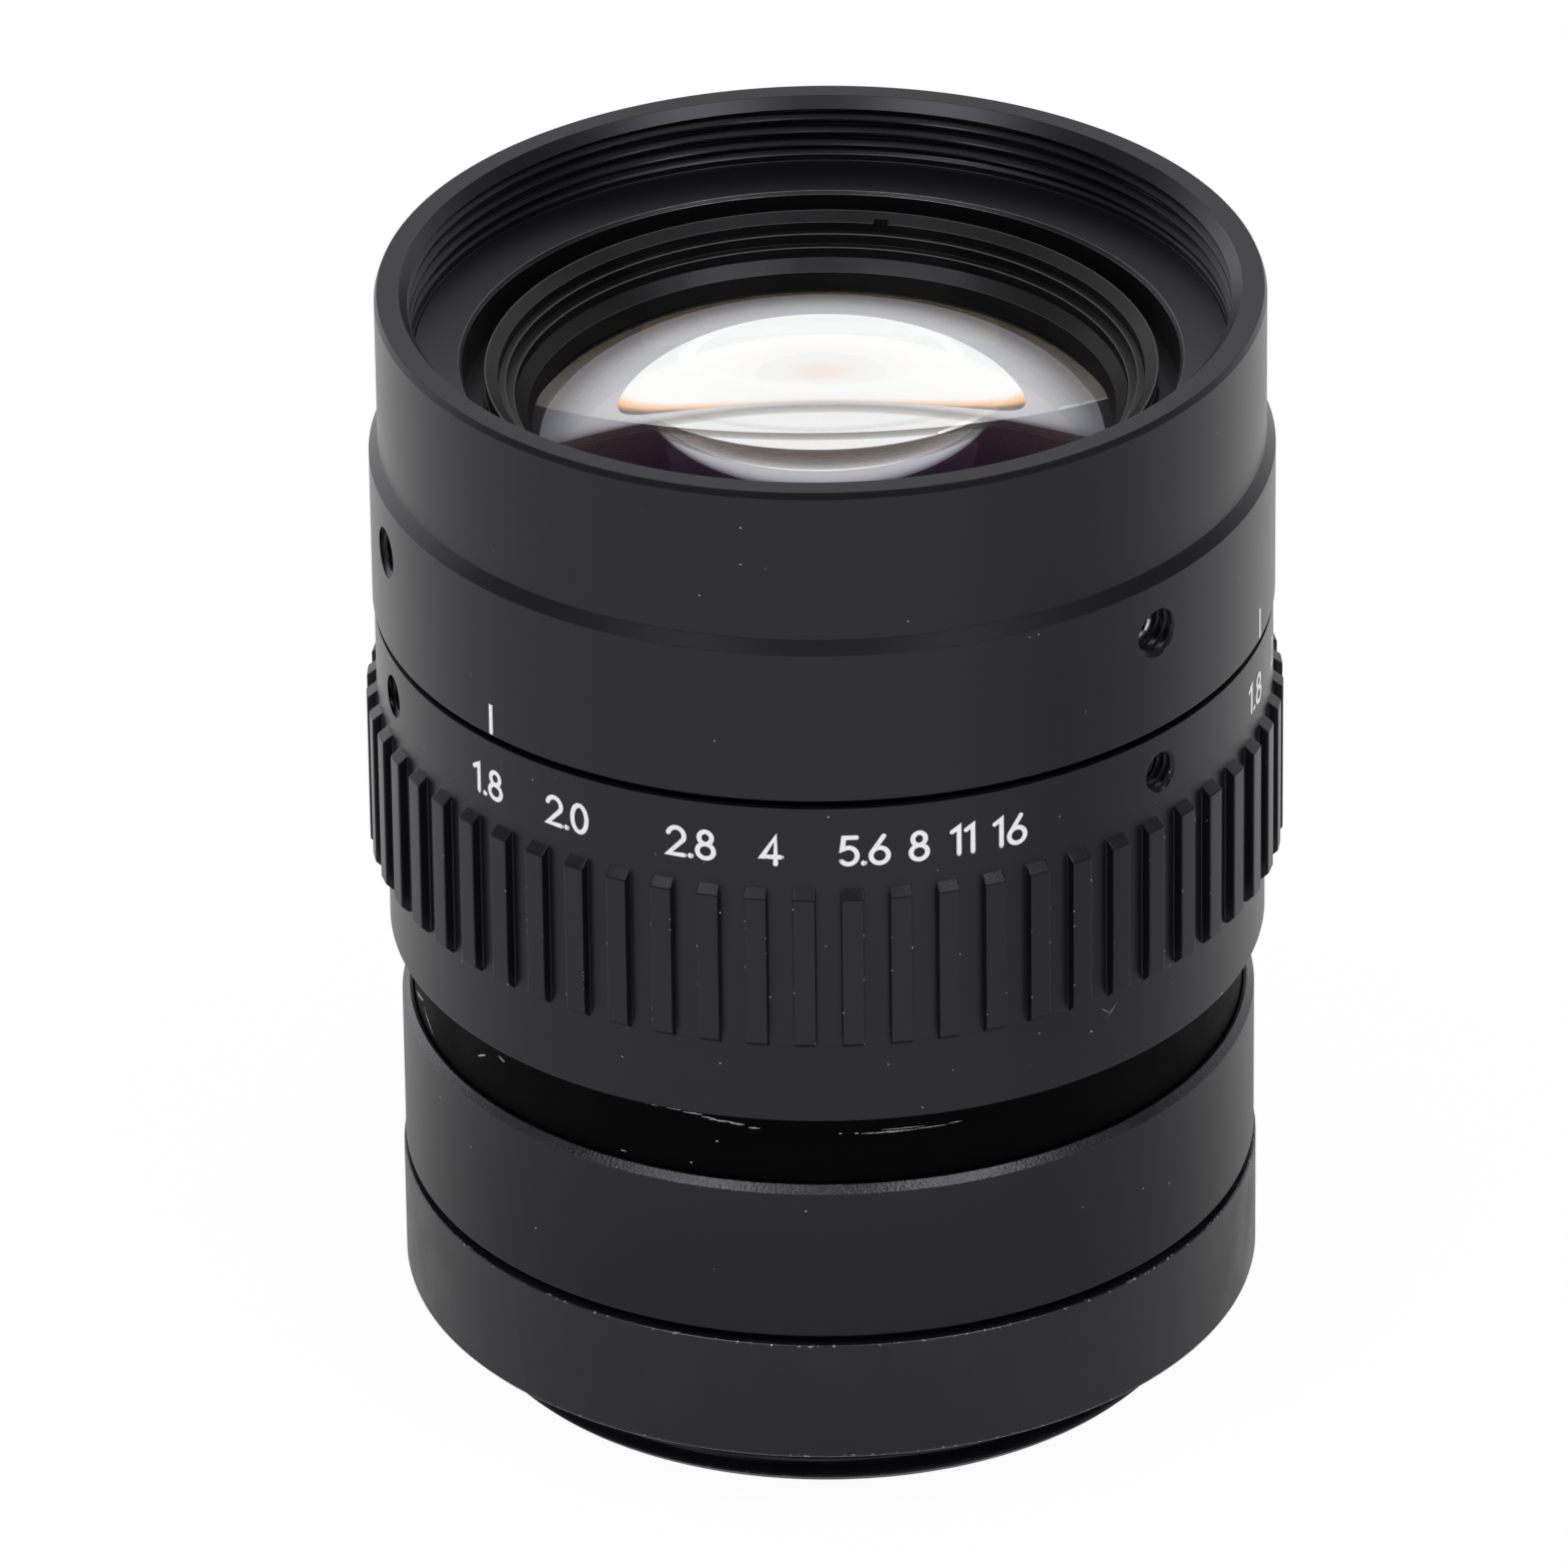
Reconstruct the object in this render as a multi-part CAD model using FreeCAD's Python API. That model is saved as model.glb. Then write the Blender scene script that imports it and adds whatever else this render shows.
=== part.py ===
import FreeCAD, Part
import math
import os

# A fixed-focus machine vision lens with a one-inch, 32-threads-per-inch camera mount.
# Millimetres. +Z runs along the optical axis towards the scene, and z = 0 is the mount's flange face.
# Azimuths are in degrees from -Y, where the lens is looked at, and grow towards +X.

Vector = FreeCAD.Vector
Z_AXIS = Vector(0, 0, 1)
ORIGIN = Vector(0, 0, 0)

# Fits
slip_fit = 0.02
running_fit = 0.05
side_clearance = 0.3
axial_play = 0.03
glass_fit = 0.05

# How far a cutter runs past the wall it cuts, and how deep a knurl tooth roots in the ring
cutter_over = 0.5
tooth_root = 0.2

# Heights of the outside, from the flange upwards
base_height = 4.52
focus_seam = 0.31
focus_height = 5.89
focus_travel = 2.60
closed_gap = 0.23
skirt_height = 3.30
knurl_length = 6.15
band_height = 2.93
iris_seam = 0.20
index_height = 5.57
step_height = 0.45
nose_height = 5.50

# Walls between the mount thread and the outside, which set every radius of the rings
flange_width = 2.2
tube_wall = 1.45
tube_skirt_wall = 1.35
spigot_step = 0.8
spigot_height = 5.3
skirt_wall = 0.73
band_wall = 0.99
tooth_height = 0.36
index_wall = 1.10
step_width = 0.31
nose_wall = 1.21
focus_wall = 0.38
base_proud = 0.07
base_land_step = 0.6

# Small edges of the outside
base_bottom_chamfer = 0.2
ring_edge_chamfer = 0.1
focus_chamfer_width = 0.26
focus_chamfer_height = 0.33
index_edge_chamfer = 0.06
rim_chamfer_width = 0.09
rim_chamfer_height = 0.23

# Camera mount thread, one inch across its crests
mount_diameter = 25.4
mount_length = 2.35
mount_end_chamfer = 0.25
mount_wall = 1.8
mount_bore_top = 4.0
mount_bore_chamfer = 0.3

# Guide tube, the focus ring's inner flange and the ring that holds it down
guide_wall = 0.8
focus_flange_height = 0.7
retainer_height = 0.6

# Guide keys
key_count = 3
key_width = 1.5
key_height = 1.6
key_projection = 0.75
key_inner_gap = 0.1
key_below_top = 0.5
keyway_spare = 0.2

# Filter thread and the recess in front of the glass
filter_chamfer = 0.37
filter_depth = 2.35
ledge_lip = 0.13
ledge_drop = 0.35
ledge_edge_chamfer = 0.08
trough_width = 0.75
trough_depth = 1.6

# Knurl of the iris ring
tooth_count = 60
tooth_width_degrees = 2.7
tooth_azimuth = 3.1
tooth_chamfer = 0.26

# Screws, three at each height
screw_count = 3
index_screw_azimuth = 46.3
index_screw_height = 3.79
index_screw_diameter = 1.6
index_screw_sink = 0.6
index_countersink_diameter = 2.06
drive_screw_azimuth = 47.0
drive_screw_below_top = 1.51
drive_screw_diameter = 1.3
drive_screw_sink = 0.69
drive_countersink_diameter = 1.74
drive_screw_bite = 0.65
socket_diameter = 0.8
socket_depth = 0.5

# Iris
iris_turn_degrees = 71.4
blade_count = 6
blade_thickness = 0.08
blade_pitch = 0.13
stop_radius = 5.2
blade_overlap = 0.1
smallest_stop_radius = 0.6
pivot_inset = 2.4
blade_pin_gap = 1.2
blade_span_degrees = 122.0
blade_heel_degrees = 7.0
lever_length = 3.0
pin_radius = 0.3
pin_end_gap = 0.1
ear_margin = 0.3
iris_base_height = 0.7
blade_space = 1.0
cam_plate_height = 0.6
cam_rim_height = 2.27
cam_rim_wall = 0.9
cam_web = 0.5
cover_height = 0.65
cover_width = 1.9
cover_recess = 0.18
slot_play_degrees = 1.5
slot_side_clearance = 0.11
cam_slot_points = 9

# Web that carries the rear cell
web_height = 4.3

# Curvatures of the glass, positive where the centre lies towards the camera
front_curve = 24.0
front_back_curve = 80.0
second_curve = 16.0
second_back_curve = 30.0
cemented_curve = 200.0
front_crown_curve = 14.0
front_hollow_curve = 14.0
rear_hollow_curve = -14.0
rear_crown_curve = -14.0
rear_curve = 40.0
rear_back_curve = -25.0
field_curve = -20.0
field_back_curve = -30.0

# Thickness of the glass at its edges, the steps between the elements' radii and the air between them
front_edge = 1.51
second_edge = 1.18
front_crown_edge = 0.3
front_flint_edge = 1.82
rear_flint_edge = 2.0
rear_crown_edge = 0.5
rear_edge = 1.1
field_edge = 2.45
second_glass_step = 1.2
front_doublet_step = 2.0
rear_glass_step = 0.8
rear_doublet_step = 0.8
front_hollow_rim = 2.0
rear_hollow_rim = 1.4
first_air = 0.5
second_air = 0.3
third_air = 2.9
fourth_air = 2.5

# Front cell and its rings
cell_flange_width = 1.4
cell_rim_above_edge = 2.70
cell_rim_wall = 0.46
cell_rim_slope = 0.29
cell_seat_step = 0.19
cell_lip_height = 0.15
cell_lip_overlap = 0.1
retaining_ring_drop = 0.6
retaining_ring_width = 0.26
retaining_step_height = 0.38
retaining_step_width = 0.29
retaining_overlap = 0.93
retaining_lip_width = 0.2
retaining_lip_height = 0.2
notch_count = 2
notch_azimuth = 169.0
notch_width = 0.7
notch_bite = 0.22
spacer_wall = 0.6
spacer_flange_height = 0.4

# Rear cell and its rings
rear_cell_recess = 0.4
rear_ring_height = 0.8
rear_ring_wall = 0.6
rear_ring_overlap = 0.2
rear_thread_length = 6.9
rear_waist_step = 1.35
rear_tip_clearance = 1.3
rear_tip_wall = 1.15
rear_waist_length = 4.5
rear_cell_overhang = 2.0
rear_seat_width = 0.6
rear_lip_width = 0.7
rear_retainer_width = 1.0
rear_retainer_recess = 0.2
rear_retainer_chamfer = 0.6

# Heights that follow, outside
base_top = base_height
focus_bottom = base_top + focus_seam
focus_top = focus_bottom + focus_height
iris_bottom = focus_top + focus_travel + closed_gap
knurl_bottom = iris_bottom + skirt_height
knurl_top = knurl_bottom + knurl_length
iris_top = knurl_top + band_height
index_bottom = iris_top + iris_seam
step_bottom = index_bottom + index_height
step_top = step_bottom + step_height
rim_top = step_top + nose_height
index_screw_z = index_bottom + index_screw_height
drive_screw_z = iris_top - drive_screw_below_top
tube_top = index_bottom + spigot_height

# Heights that follow, iris from its cover down, and the guide tube under it
cover_top = index_bottom - cover_recess
cover_bottom = cover_top - cover_height
cam_top = cover_bottom - axial_play
cam_bottom = cam_top - cam_rim_height
iris_base_top = cam_bottom - blade_space
web_top = iris_base_top - iris_base_height
web_bottom = web_top - web_height
guide_top = web_bottom - focus_travel - side_clearance
retainer_bottom = focus_bottom + focus_flange_height + axial_play
retainer_top = retainer_bottom + retainer_height
tube_bottom = retainer_top + side_clearance + focus_travel

# Radii that follow, outside
mount_radius = mount_diameter / 2
mount_bore = mount_radius - mount_wall
base_radius = mount_radius + flange_width
land_radius = base_radius - base_land_step
focus_radius = base_radius - base_proud
sliding_radius = focus_radius - focus_wall
tube_radius = sliding_radius - running_fit
skirt_radius = sliding_radius + skirt_wall
band_radius = sliding_radius + band_wall
knurl_radius = band_radius + tooth_height
index_radius = tube_radius + index_wall
nose_radius = index_radius - step_width
filter_bore = nose_radius - nose_wall

# Radii that follow, tubes and cells
tube_bore = tube_radius - tube_wall
inner_radius = tube_bore - running_fit
spigot_radius = tube_radius - spigot_step
barrel_bore = spigot_radius + slip_fit
guide_sleeve = tube_radius - tube_skirt_wall
guide_radius = guide_sleeve - running_fit
guide_bore = guide_radius - guide_wall
web_bore = guide_bore - side_clearance
cell_thread = inner_radius - cell_flange_width
cell_bore = cell_thread - cell_rim_wall
rear_tip = mount_bore - rear_tip_clearance

# Radii that follow, glass and iris
front_glass = cell_bore - cell_seat_step - glass_fit
second_glass = front_glass - second_glass_step
front_doublet = second_glass - front_doublet_step
front_hollow = front_doublet - front_hollow_rim
front_aperture = front_glass - retaining_overlap
field_glass = rear_tip - rear_tip_wall - glass_fit
rear_glass = field_glass - rear_glass_step
rear_doublet = rear_glass - rear_doublet_step
rear_hollow = rear_doublet - rear_hollow_rim
pivot_circle = inner_radius - pivot_inset
blade_inner = stop_radius + blade_overlap
blade_outer = pivot_circle - blade_pin_gap
hole_clearance = pin_radius + axial_play


def drop(curvature, radius):
    """How far a glass surface falls from its vertex at a radius."""
    size = abs(curvature)
    return math.copysign(size - math.sqrt(size * size - radius * radius), curvature)


# Front glass from the cell's lip upwards: edges, then the vertices over them
lip_bottom = cam_bottom + axial_play
lip_top = lip_bottom + cell_lip_height
front_flint_rim = lip_top + glass_fit
flint_back = front_flint_rim + drop(front_hollow_curve, front_hollow)
flint_vertex = front_flint_rim + front_flint_edge + drop(cemented_curve, front_doublet)
crown_vertex = front_flint_rim + front_flint_edge + front_crown_edge + drop(front_crown_curve, front_doublet)
second_back = crown_vertex + second_air
second_edge_bottom = second_back - drop(second_back_curve, second_glass)
second_seat = second_edge_bottom - glass_fit
second_vertex = second_edge_bottom + second_edge + drop(second_curve, second_glass)
front_back = second_vertex + first_air
front_edge_bottom = front_back - drop(front_back_curve, front_glass)
front_seat = front_edge_bottom - glass_fit
front_edge_top = front_edge_bottom + front_edge
front_vertex = front_edge_top + drop(front_curve, front_glass)
cell_rim = front_edge_top + cell_rim_above_edge

# Rear glass from the web downwards
rear_cell_top = web_top - rear_cell_recess
rear_ring_seat = rear_cell_top - rear_ring_height
rear_flint_vertex = rear_ring_seat + drop(rear_hollow_curve, rear_hollow)
rear_cemented_vertex = rear_ring_seat - rear_flint_edge + drop(cemented_curve, rear_doublet)
rear_crown_bottom = rear_ring_seat - rear_flint_edge - rear_crown_edge
rear_crown_back = rear_crown_bottom + drop(rear_crown_curve, rear_doublet)
rear_vertex = rear_crown_back - third_air
rear_edge_bottom = rear_vertex - drop(rear_curve, rear_glass) - rear_edge
rear_back = rear_edge_bottom + drop(rear_back_curve, rear_glass)
field_vertex = rear_back - fourth_air
field_edge_top = field_vertex - drop(field_curve, field_glass)
field_back = field_edge_top - field_edge + drop(field_back_curve, field_glass)
rear_cell_bottom = field_back - rear_cell_overhang


def polar(radius, azimuth, z=0.0):
    """Point at a radius and an azimuth counted from -Y towards +X."""
    angle = math.radians(azimuth - 90.0)
    return Vector(radius * math.cos(angle), radius * math.sin(angle), z)


def turned(points):
    """Solid turned about the optical axis from a closed profile of (radius, height) corners."""
    corners = [Vector(r, 0, z) for r, z in points]
    wire = Part.makePolygon(corners + [corners[0]])
    return Part.Face(wire).revolve(ORIGIN, Z_AXIS, 360)


def tube(inner, outer, bottom, top):
    """Plain ring between two radii and two heights."""
    return turned([(inner, bottom), (outer, bottom), (outer, top), (inner, top)])


def spun(shape, azimuth):
    """Copy of a shape built at azimuth 90, on the +X side, turned to another azimuth."""
    return shape.rotated(ORIGIN, Z_AXIS, azimuth - 90.0)


def around(shape, count, azimuth):
    """Equally spaced copies of a shape built on the +X side."""
    return [spun(shape, azimuth + 360.0 * k / count) for k in range(count)]


def without(shape, cutters):
    """Shape with a list of cutters taken out of it."""
    for cutter in cutters:
        shape = shape.cut(cutter)
    return shape


def arc_edge(vertex, curvature, start_radius, end_radius):
    """Profile edge of a glass surface between two radii."""
    radii = (start_radius, (start_radius + end_radius) / 2, end_radius)
    points = [Vector(r, 0, vertex - drop(curvature, r)) for r in radii]
    return Part.Arc(*points).toShape()


def line_edge(start, end):
    """Straight profile edge between two (radius, height) corners."""
    return Part.makeLine(Vector(start[0], 0, start[1]), Vector(end[0], 0, end[1]))


def glass(radius, vertex, curvature, back, back_curvature):
    """Lens element with two polished faces and a cylindrical edge."""
    top = (radius, vertex - drop(curvature, radius))
    bottom = (radius, back - drop(back_curvature, radius))
    edges = [
        arc_edge(vertex, curvature, 0.0, radius),
        line_edge(top, bottom),
        arc_edge(back, back_curvature, radius, 0.0),
        line_edge((0.0, back), (0.0, vertex)),
    ]
    return Part.Face(Part.Wire(edges)).revolve(ORIGIN, Z_AXIS, 360)


def front_crown():
    """Front half of the front doublet."""
    return glass(front_doublet, crown_vertex, front_crown_curve, flint_vertex, cemented_curve)


def rear_crown():
    """Rear half of the rear doublet."""
    return glass(rear_doublet, rear_cemented_vertex, cemented_curve, rear_crown_back, rear_crown_curve)


def front_flint():
    """Lens element whose hollow rear face stops at a flat rim before the edge."""
    radius = front_doublet
    rim = front_flint_rim
    edges = [
        arc_edge(flint_vertex, cemented_curve, 0.0, radius),
        line_edge((radius, rim + front_flint_edge), (radius, rim)),
        line_edge((radius, rim), (front_hollow, rim)),
        arc_edge(flint_back, front_hollow_curve, front_hollow, 0.0),
        line_edge((0.0, flint_back), (0.0, flint_vertex)),
    ]
    return Part.Face(Part.Wire(edges)).revolve(ORIGIN, Z_AXIS, 360)


def rear_flint():
    """Lens element whose hollow front face stops at a flat rim before the edge."""
    radius = rear_doublet
    rim = rear_ring_seat
    edges = [
        arc_edge(rear_flint_vertex, rear_hollow_curve, 0.0, rear_hollow),
        line_edge((rear_hollow, rim), (radius, rim)),
        line_edge((radius, rim), (radius, rim - rear_flint_edge)),
        arc_edge(rear_cemented_vertex, cemented_curve, radius, 0.0),
        line_edge((0.0, rear_cemented_vertex), (0.0, rear_flint_vertex)),
    ]
    return Part.Face(Part.Wire(edges)).revolve(ORIGIN, Z_AXIS, 360)


def radial_cylinder(radius, start, end, z):
    """Cylinder along +X between two distances from the axis."""
    return Part.makeCylinder(radius, end - start, Vector(start, 0, z), Vector(1, 0, 0))


def radial_hole(radius, sink_radius, surface_radius, inner, z):
    """Cutter for a hole drilled towards the axis, with a small countersink at the surface."""
    drill = radial_cylinder(radius, inner, surface_radius + cutter_over, z)
    sink_depth = sink_radius - radius
    sink = Part.makeCone(
        radius,
        sink_radius + cutter_over,
        sink_depth + cutter_over,
        Vector(surface_radius - sink_depth, 0, z),
        Vector(1, 0, 0),
    )
    return drill.fuse(sink)


def set_screw(radius, start, end, z):
    """Headless screw along +X with a six-sided socket in its outer end."""
    corners = []
    for k in range(7):
        angle = math.radians(60.0 * k)
        y = socket_diameter / 2 * math.cos(angle)
        dz = socket_diameter / 2 * math.sin(angle)
        corners.append(Vector(end - socket_depth, y, z + dz))
    socket = Part.Face(Part.makePolygon(corners)).extrude(Vector(socket_depth + cutter_over, 0, 0))
    return radial_cylinder(radius, start, end, z).cut(socket)


def wedge(reach, start_azimuth, end_azimuth):
    """Tall sector about the axis, used to keep a part of a ring."""
    steps = 6
    step = (end_azimuth - start_azimuth) / steps
    corners = [ORIGIN]
    corners += [polar(reach, start_azimuth + step * k) for k in range(steps + 1)]
    corners.append(ORIGIN)
    return Part.Face(Part.makePolygon(corners)).extrude(Vector(0, 0, rim_top))


def arc_slot(width, start_azimuth, end_azimuth, inner, outer, z):
    """Cutter for a round-ended slot that runs round a tube wall at one height."""
    band = tube(inner, outer, z - width / 2, z + width / 2)
    slot = band.common(wedge(2 * outer, start_azimuth, end_azimuth))
    for azimuth in (start_azimuth, end_azimuth):
        slot = slot.fuse(spun(radial_cylinder(width / 2, inner, outer, z), azimuth))
    return slot


def mount_base():
    """Flange ring with the camera thread below it and the guide tube above it."""
    body = turned([
        (mount_bore, mount_bore_chamfer - mount_length),
        (mount_bore + mount_bore_chamfer, -mount_length),
        (mount_radius - mount_end_chamfer, -mount_length),
        (mount_radius, mount_end_chamfer - mount_length),
        (mount_radius, 0.0),
        (base_radius - base_bottom_chamfer, 0.0),
        (base_radius, base_bottom_chamfer),
        (base_radius, base_top - ring_edge_chamfer),
        (base_radius - ring_edge_chamfer, base_top),
        (land_radius, base_top),
        (land_radius, focus_bottom),
        (guide_radius, focus_bottom),
        (guide_radius, guide_top),
        (guide_bore, guide_top),
        (guide_bore, mount_bore_top),
        (mount_bore, mount_bore_top),
    ])
    windows = around(key_block(guide_bore - cutter_over, guide_radius + cutter_over), key_count, 0.0)
    return without(body, windows)


def key_block(inner, outer):
    """Block of a guide key between two radii."""
    bottom = guide_top - key_below_top - key_height
    return Part.makeBox(outer - inner, key_width, key_height, Vector(inner, -key_width / 2, bottom))


def guide_keys():
    """Three keys set in the guide tube, which slide in the optics tube's keyways."""
    key = key_block(guide_bore + key_inner_gap, guide_radius + key_projection)
    return Part.makeCompound(around(key, key_count, 0.0))


def focus_ring():
    """Smooth ring that turns on the mount base and drives the optics tube along the axis."""
    flange_bore = guide_radius + running_fit
    return turned([
        (flange_bore, focus_bottom),
        (focus_radius - ring_edge_chamfer, focus_bottom),
        (focus_radius, focus_bottom + ring_edge_chamfer),
        (focus_radius, focus_top - focus_chamfer_height),
        (focus_radius - focus_chamfer_width, focus_top),
        (sliding_radius, focus_top),
        (sliding_radius, focus_bottom + focus_flange_height),
        (flange_bore, focus_bottom + focus_flange_height),
    ])


def focus_retainer():
    """Ring on the guide tube that holds the focus ring down on the base."""
    return tube(guide_radius + slip_fit, sliding_radius - side_clearance, retainer_bottom, retainer_top)


def main_barrel():
    """Tube that carries the optics, slides on the guide tube and shows in the gap."""
    body = turned([
        (guide_sleeve, tube_bottom),
        (tube_radius, tube_bottom),
        (tube_radius, index_bottom),
        (spigot_radius, index_bottom),
        (spigot_radius, tube_top),
        (tube_bore, tube_top),
        (tube_bore, web_top),
        (web_bore, web_top),
        (web_bore, web_bottom),
        (guide_sleeve, web_bottom),
    ])
    keyway_top = guide_top - key_below_top + focus_travel + keyway_spare
    keyway = Part.makeBox(
        key_projection + cutter_over + running_fit,
        key_width + 2 * running_fit,
        keyway_top - tube_bottom + cutter_over,
        Vector(guide_radius - cutter_over, -key_width / 2 - running_fit, tube_bottom - cutter_over),
    )
    slot = arc_slot(
        drive_screw_diameter + 2 * slot_side_clearance,
        90.0 - iris_turn_degrees - slot_play_degrees,
        90.0 + slot_play_degrees,
        tube_bore - cutter_over,
        tube_radius + cutter_over,
        drive_screw_z,
    )
    body = without(body, around(keyway, key_count, 0.0))
    return without(body, around(slot, screw_count, drive_screw_azimuth))


def front_barrel():
    """Outer barrel with the filter bore, the ledge, the stepped outside and three screw holes."""
    ledge_top = rim_top - filter_depth
    ledge_low = ledge_top - ledge_drop
    ledge_inner = cell_thread + trough_width
    thread = cell_thread + slip_fit
    body = turned([
        (barrel_bore, index_bottom),
        (index_radius - index_edge_chamfer, index_bottom),
        (index_radius, index_bottom + index_edge_chamfer),
        (index_radius, step_bottom),
        (nose_radius, step_top),
        (nose_radius, rim_top - rim_chamfer_height),
        (nose_radius - rim_chamfer_width, rim_top),
        (filter_bore + filter_chamfer, rim_top),
        (filter_bore, rim_top - filter_chamfer),
        (filter_bore, ledge_top),
        (filter_bore - ledge_lip, ledge_top),
        (ledge_inner + ledge_edge_chamfer, ledge_low),
        (ledge_inner, ledge_low - ledge_edge_chamfer),
        (ledge_inner, ledge_low - trough_depth),
        (thread, ledge_low - trough_depth),
        (thread, tube_top + axial_play),
        (barrel_bore, tube_top + axial_play),
    ])
    hole = radial_hole(
        index_screw_diameter / 2,
        index_countersink_diameter / 2,
        index_radius,
        barrel_bore - cutter_over,
        index_screw_z,
    )
    return without(body, around(hole, screw_count, index_screw_azimuth))


def index_screws():
    """Three set screws that clamp the outer barrel on the optics tube."""
    screw = set_screw(
        index_screw_diameter / 2 - slip_fit,
        spigot_radius,
        index_radius - index_screw_sink,
        index_screw_z,
    )
    return Part.makeCompound(around(screw, screw_count, index_screw_azimuth))


def tooth():
    """One knurl tooth on the +X side: a flat-topped land with chamfered ends."""
    half_width = knurl_radius * math.sin(math.radians(tooth_width_degrees / 2))
    foot = band_radius - tooth_root
    profile = [
        (foot, knurl_bottom),
        (knurl_radius - tooth_chamfer, knurl_bottom),
        (knurl_radius, knurl_bottom + tooth_chamfer),
        (knurl_radius, knurl_top - tooth_chamfer),
        (band_radius, knurl_top),
        (foot, knurl_top),
    ]
    corners = [Vector(r, -half_width, z) for r, z in profile]
    face = Part.Face(Part.makePolygon(corners + [corners[0]]))
    return face.extrude(Vector(0, 2 * half_width, 0))


def iris_ring():
    """Ring with the f-number band, the knurl and the skirt, turned from one piece."""
    body = turned([
        (sliding_radius, iris_bottom),
        (skirt_radius, iris_bottom),
        (skirt_radius, knurl_bottom),
        (band_radius, knurl_bottom),
        (band_radius, iris_top),
        (sliding_radius, iris_top),
    ])
    body = body.fuse(around(tooth(), tooth_count, tooth_azimuth))
    hole = radial_hole(
        drive_screw_diameter / 2,
        drive_countersink_diameter / 2,
        band_radius,
        sliding_radius - cutter_over,
        drive_screw_z,
    )
    return without(body, around(hole, screw_count, drive_screw_azimuth))


def drive_screws():
    """Three screws that join the iris ring to the cam ring through the tube's slots."""
    screw = set_screw(
        drive_screw_diameter / 2 - slip_fit,
        inner_radius - drive_screw_bite,
        band_radius - drive_screw_sink,
        drive_screw_z,
    )
    return Part.makeCompound(around(screw, screw_count, drive_screw_azimuth))


def blade_swing():
    """Angle in degrees that a blade turns through from the open to the smallest stop."""
    shift = blade_inner - smallest_stop_radius
    return 2 * math.degrees(math.asin(shift / (2 * pivot_circle)))


def drive_pin_point(swing):
    """Centre of a blade's drive pin, with the pivot on the +X side, once the blade has turned."""
    angle = math.radians(swing - blade_swing() / 2 - 90.0)
    return Vector(
        pivot_circle + lever_length * math.cos(angle),
        lever_length * math.sin(angle),
        0,
    )


def blade_azimuth(index):
    """Azimuth of a blade's pivot."""
    return 90.0 + 360.0 * index / blade_count


def bar(start, end, radius):
    """Flat blade-thick bar with round ends."""
    along = end - start
    side = Vector(-along.y, along.x, 0).normalize() * radius
    corners = [start + side, end + side, end - side, start - side, start + side]
    plate = Part.Face(Part.makePolygon(corners)).extrude(Vector(0, 0, blade_thickness))
    return plate.fuse([Part.makeCylinder(radius, blade_thickness, centre) for centre in (start, end)])


def iris_blade(index):
    """Thin crescent with a pivot pin below and a drive pin above, at its own level in the stack."""
    bottom = iris_base_top + (index + 0.5) * blade_pitch
    crescent = tube(blade_inner, blade_outer, bottom, bottom + blade_thickness)
    sector = wedge(2 * blade_outer, 90.0 - blade_heel_degrees, 90.0 + blade_span_degrees)
    pivot = Vector(pivot_circle, 0, bottom)
    pin = drive_pin_point(0.0) + Vector(0, 0, bottom)
    neck = Vector((blade_inner + blade_outer) / 2, 0, bottom)
    ear_radius = pin_radius + ear_margin
    pivot_bottom = web_top + pin_end_gap
    pin_top = cam_bottom + cam_plate_height - pin_end_gap
    pieces = [
        bar(pivot, pin, ear_radius),
        bar(pivot, neck, ear_radius),
        Part.makeCylinder(pin_radius, bottom - pivot_bottom, Vector(pivot_circle, 0, pivot_bottom)),
        Part.makeCylinder(pin_radius, pin_top - bottom, pin),
    ]
    blade = crescent.common(sector).fuse(pieces).removeSplitter()
    return spun(blade, blade_azimuth(index))


def iris_base():
    """Plate with the full aperture and the blades' pivot holes."""
    plate = tube(stop_radius, inner_radius, web_top, iris_base_top)
    start = Vector(pivot_circle, 0, web_top - iris_base_height)
    hole = Part.makeCylinder(hole_clearance, 3 * iris_base_height, start)
    return without(plate, around(hole, blade_count, blade_azimuth(0)))


def cam_slot():
    """Cutter that follows a drive pin while the cam ring turns past it at a steady ratio."""
    spare = 0.02
    last = cam_slot_points - 1
    centres = []
    for k in range(cam_slot_points):
        share = (1 + 2 * spare) * k / last - spare
        point = Part.Vertex(drive_pin_point(blade_swing() * share))
        centres.append(point.rotated(ORIGIN, Z_AXIS, iris_turn_degrees * share).Point)
    curve = Part.BSplineCurve()
    curve.interpolate(centres)
    start = curve.FirstParameter
    length = curve.LastParameter - start
    sides = []
    for sign in (1, -1):
        points = []
        for k in range(cam_slot_points):
            place = start + length * k / last
            normal = Vector(*curve.tangent(place)[0]).cross(Z_AXIS)
            points.append(curve.value(place) + normal * (sign * hole_clearance))
        side = Part.BSplineCurve()
        side.interpolate(points)
        sides.append((side.toShape(), points[0], points[-1]))
    near, far = sides
    start_cap = Part.makeLine(near[1], far[1])
    end_cap = Part.makeLine(near[2], far[2])
    wire = Part.Wire(Part.__sortEdges__([near[0], end_cap, far[0], start_cap]))
    cutter = Part.Face(wire).extrude(Vector(0, 0, rim_top))
    ends = [Part.makeCylinder(hole_clearance, rim_top, centre) for centre in (centres[0], centres[-1])]
    return cutter.fuse(ends)


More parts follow.
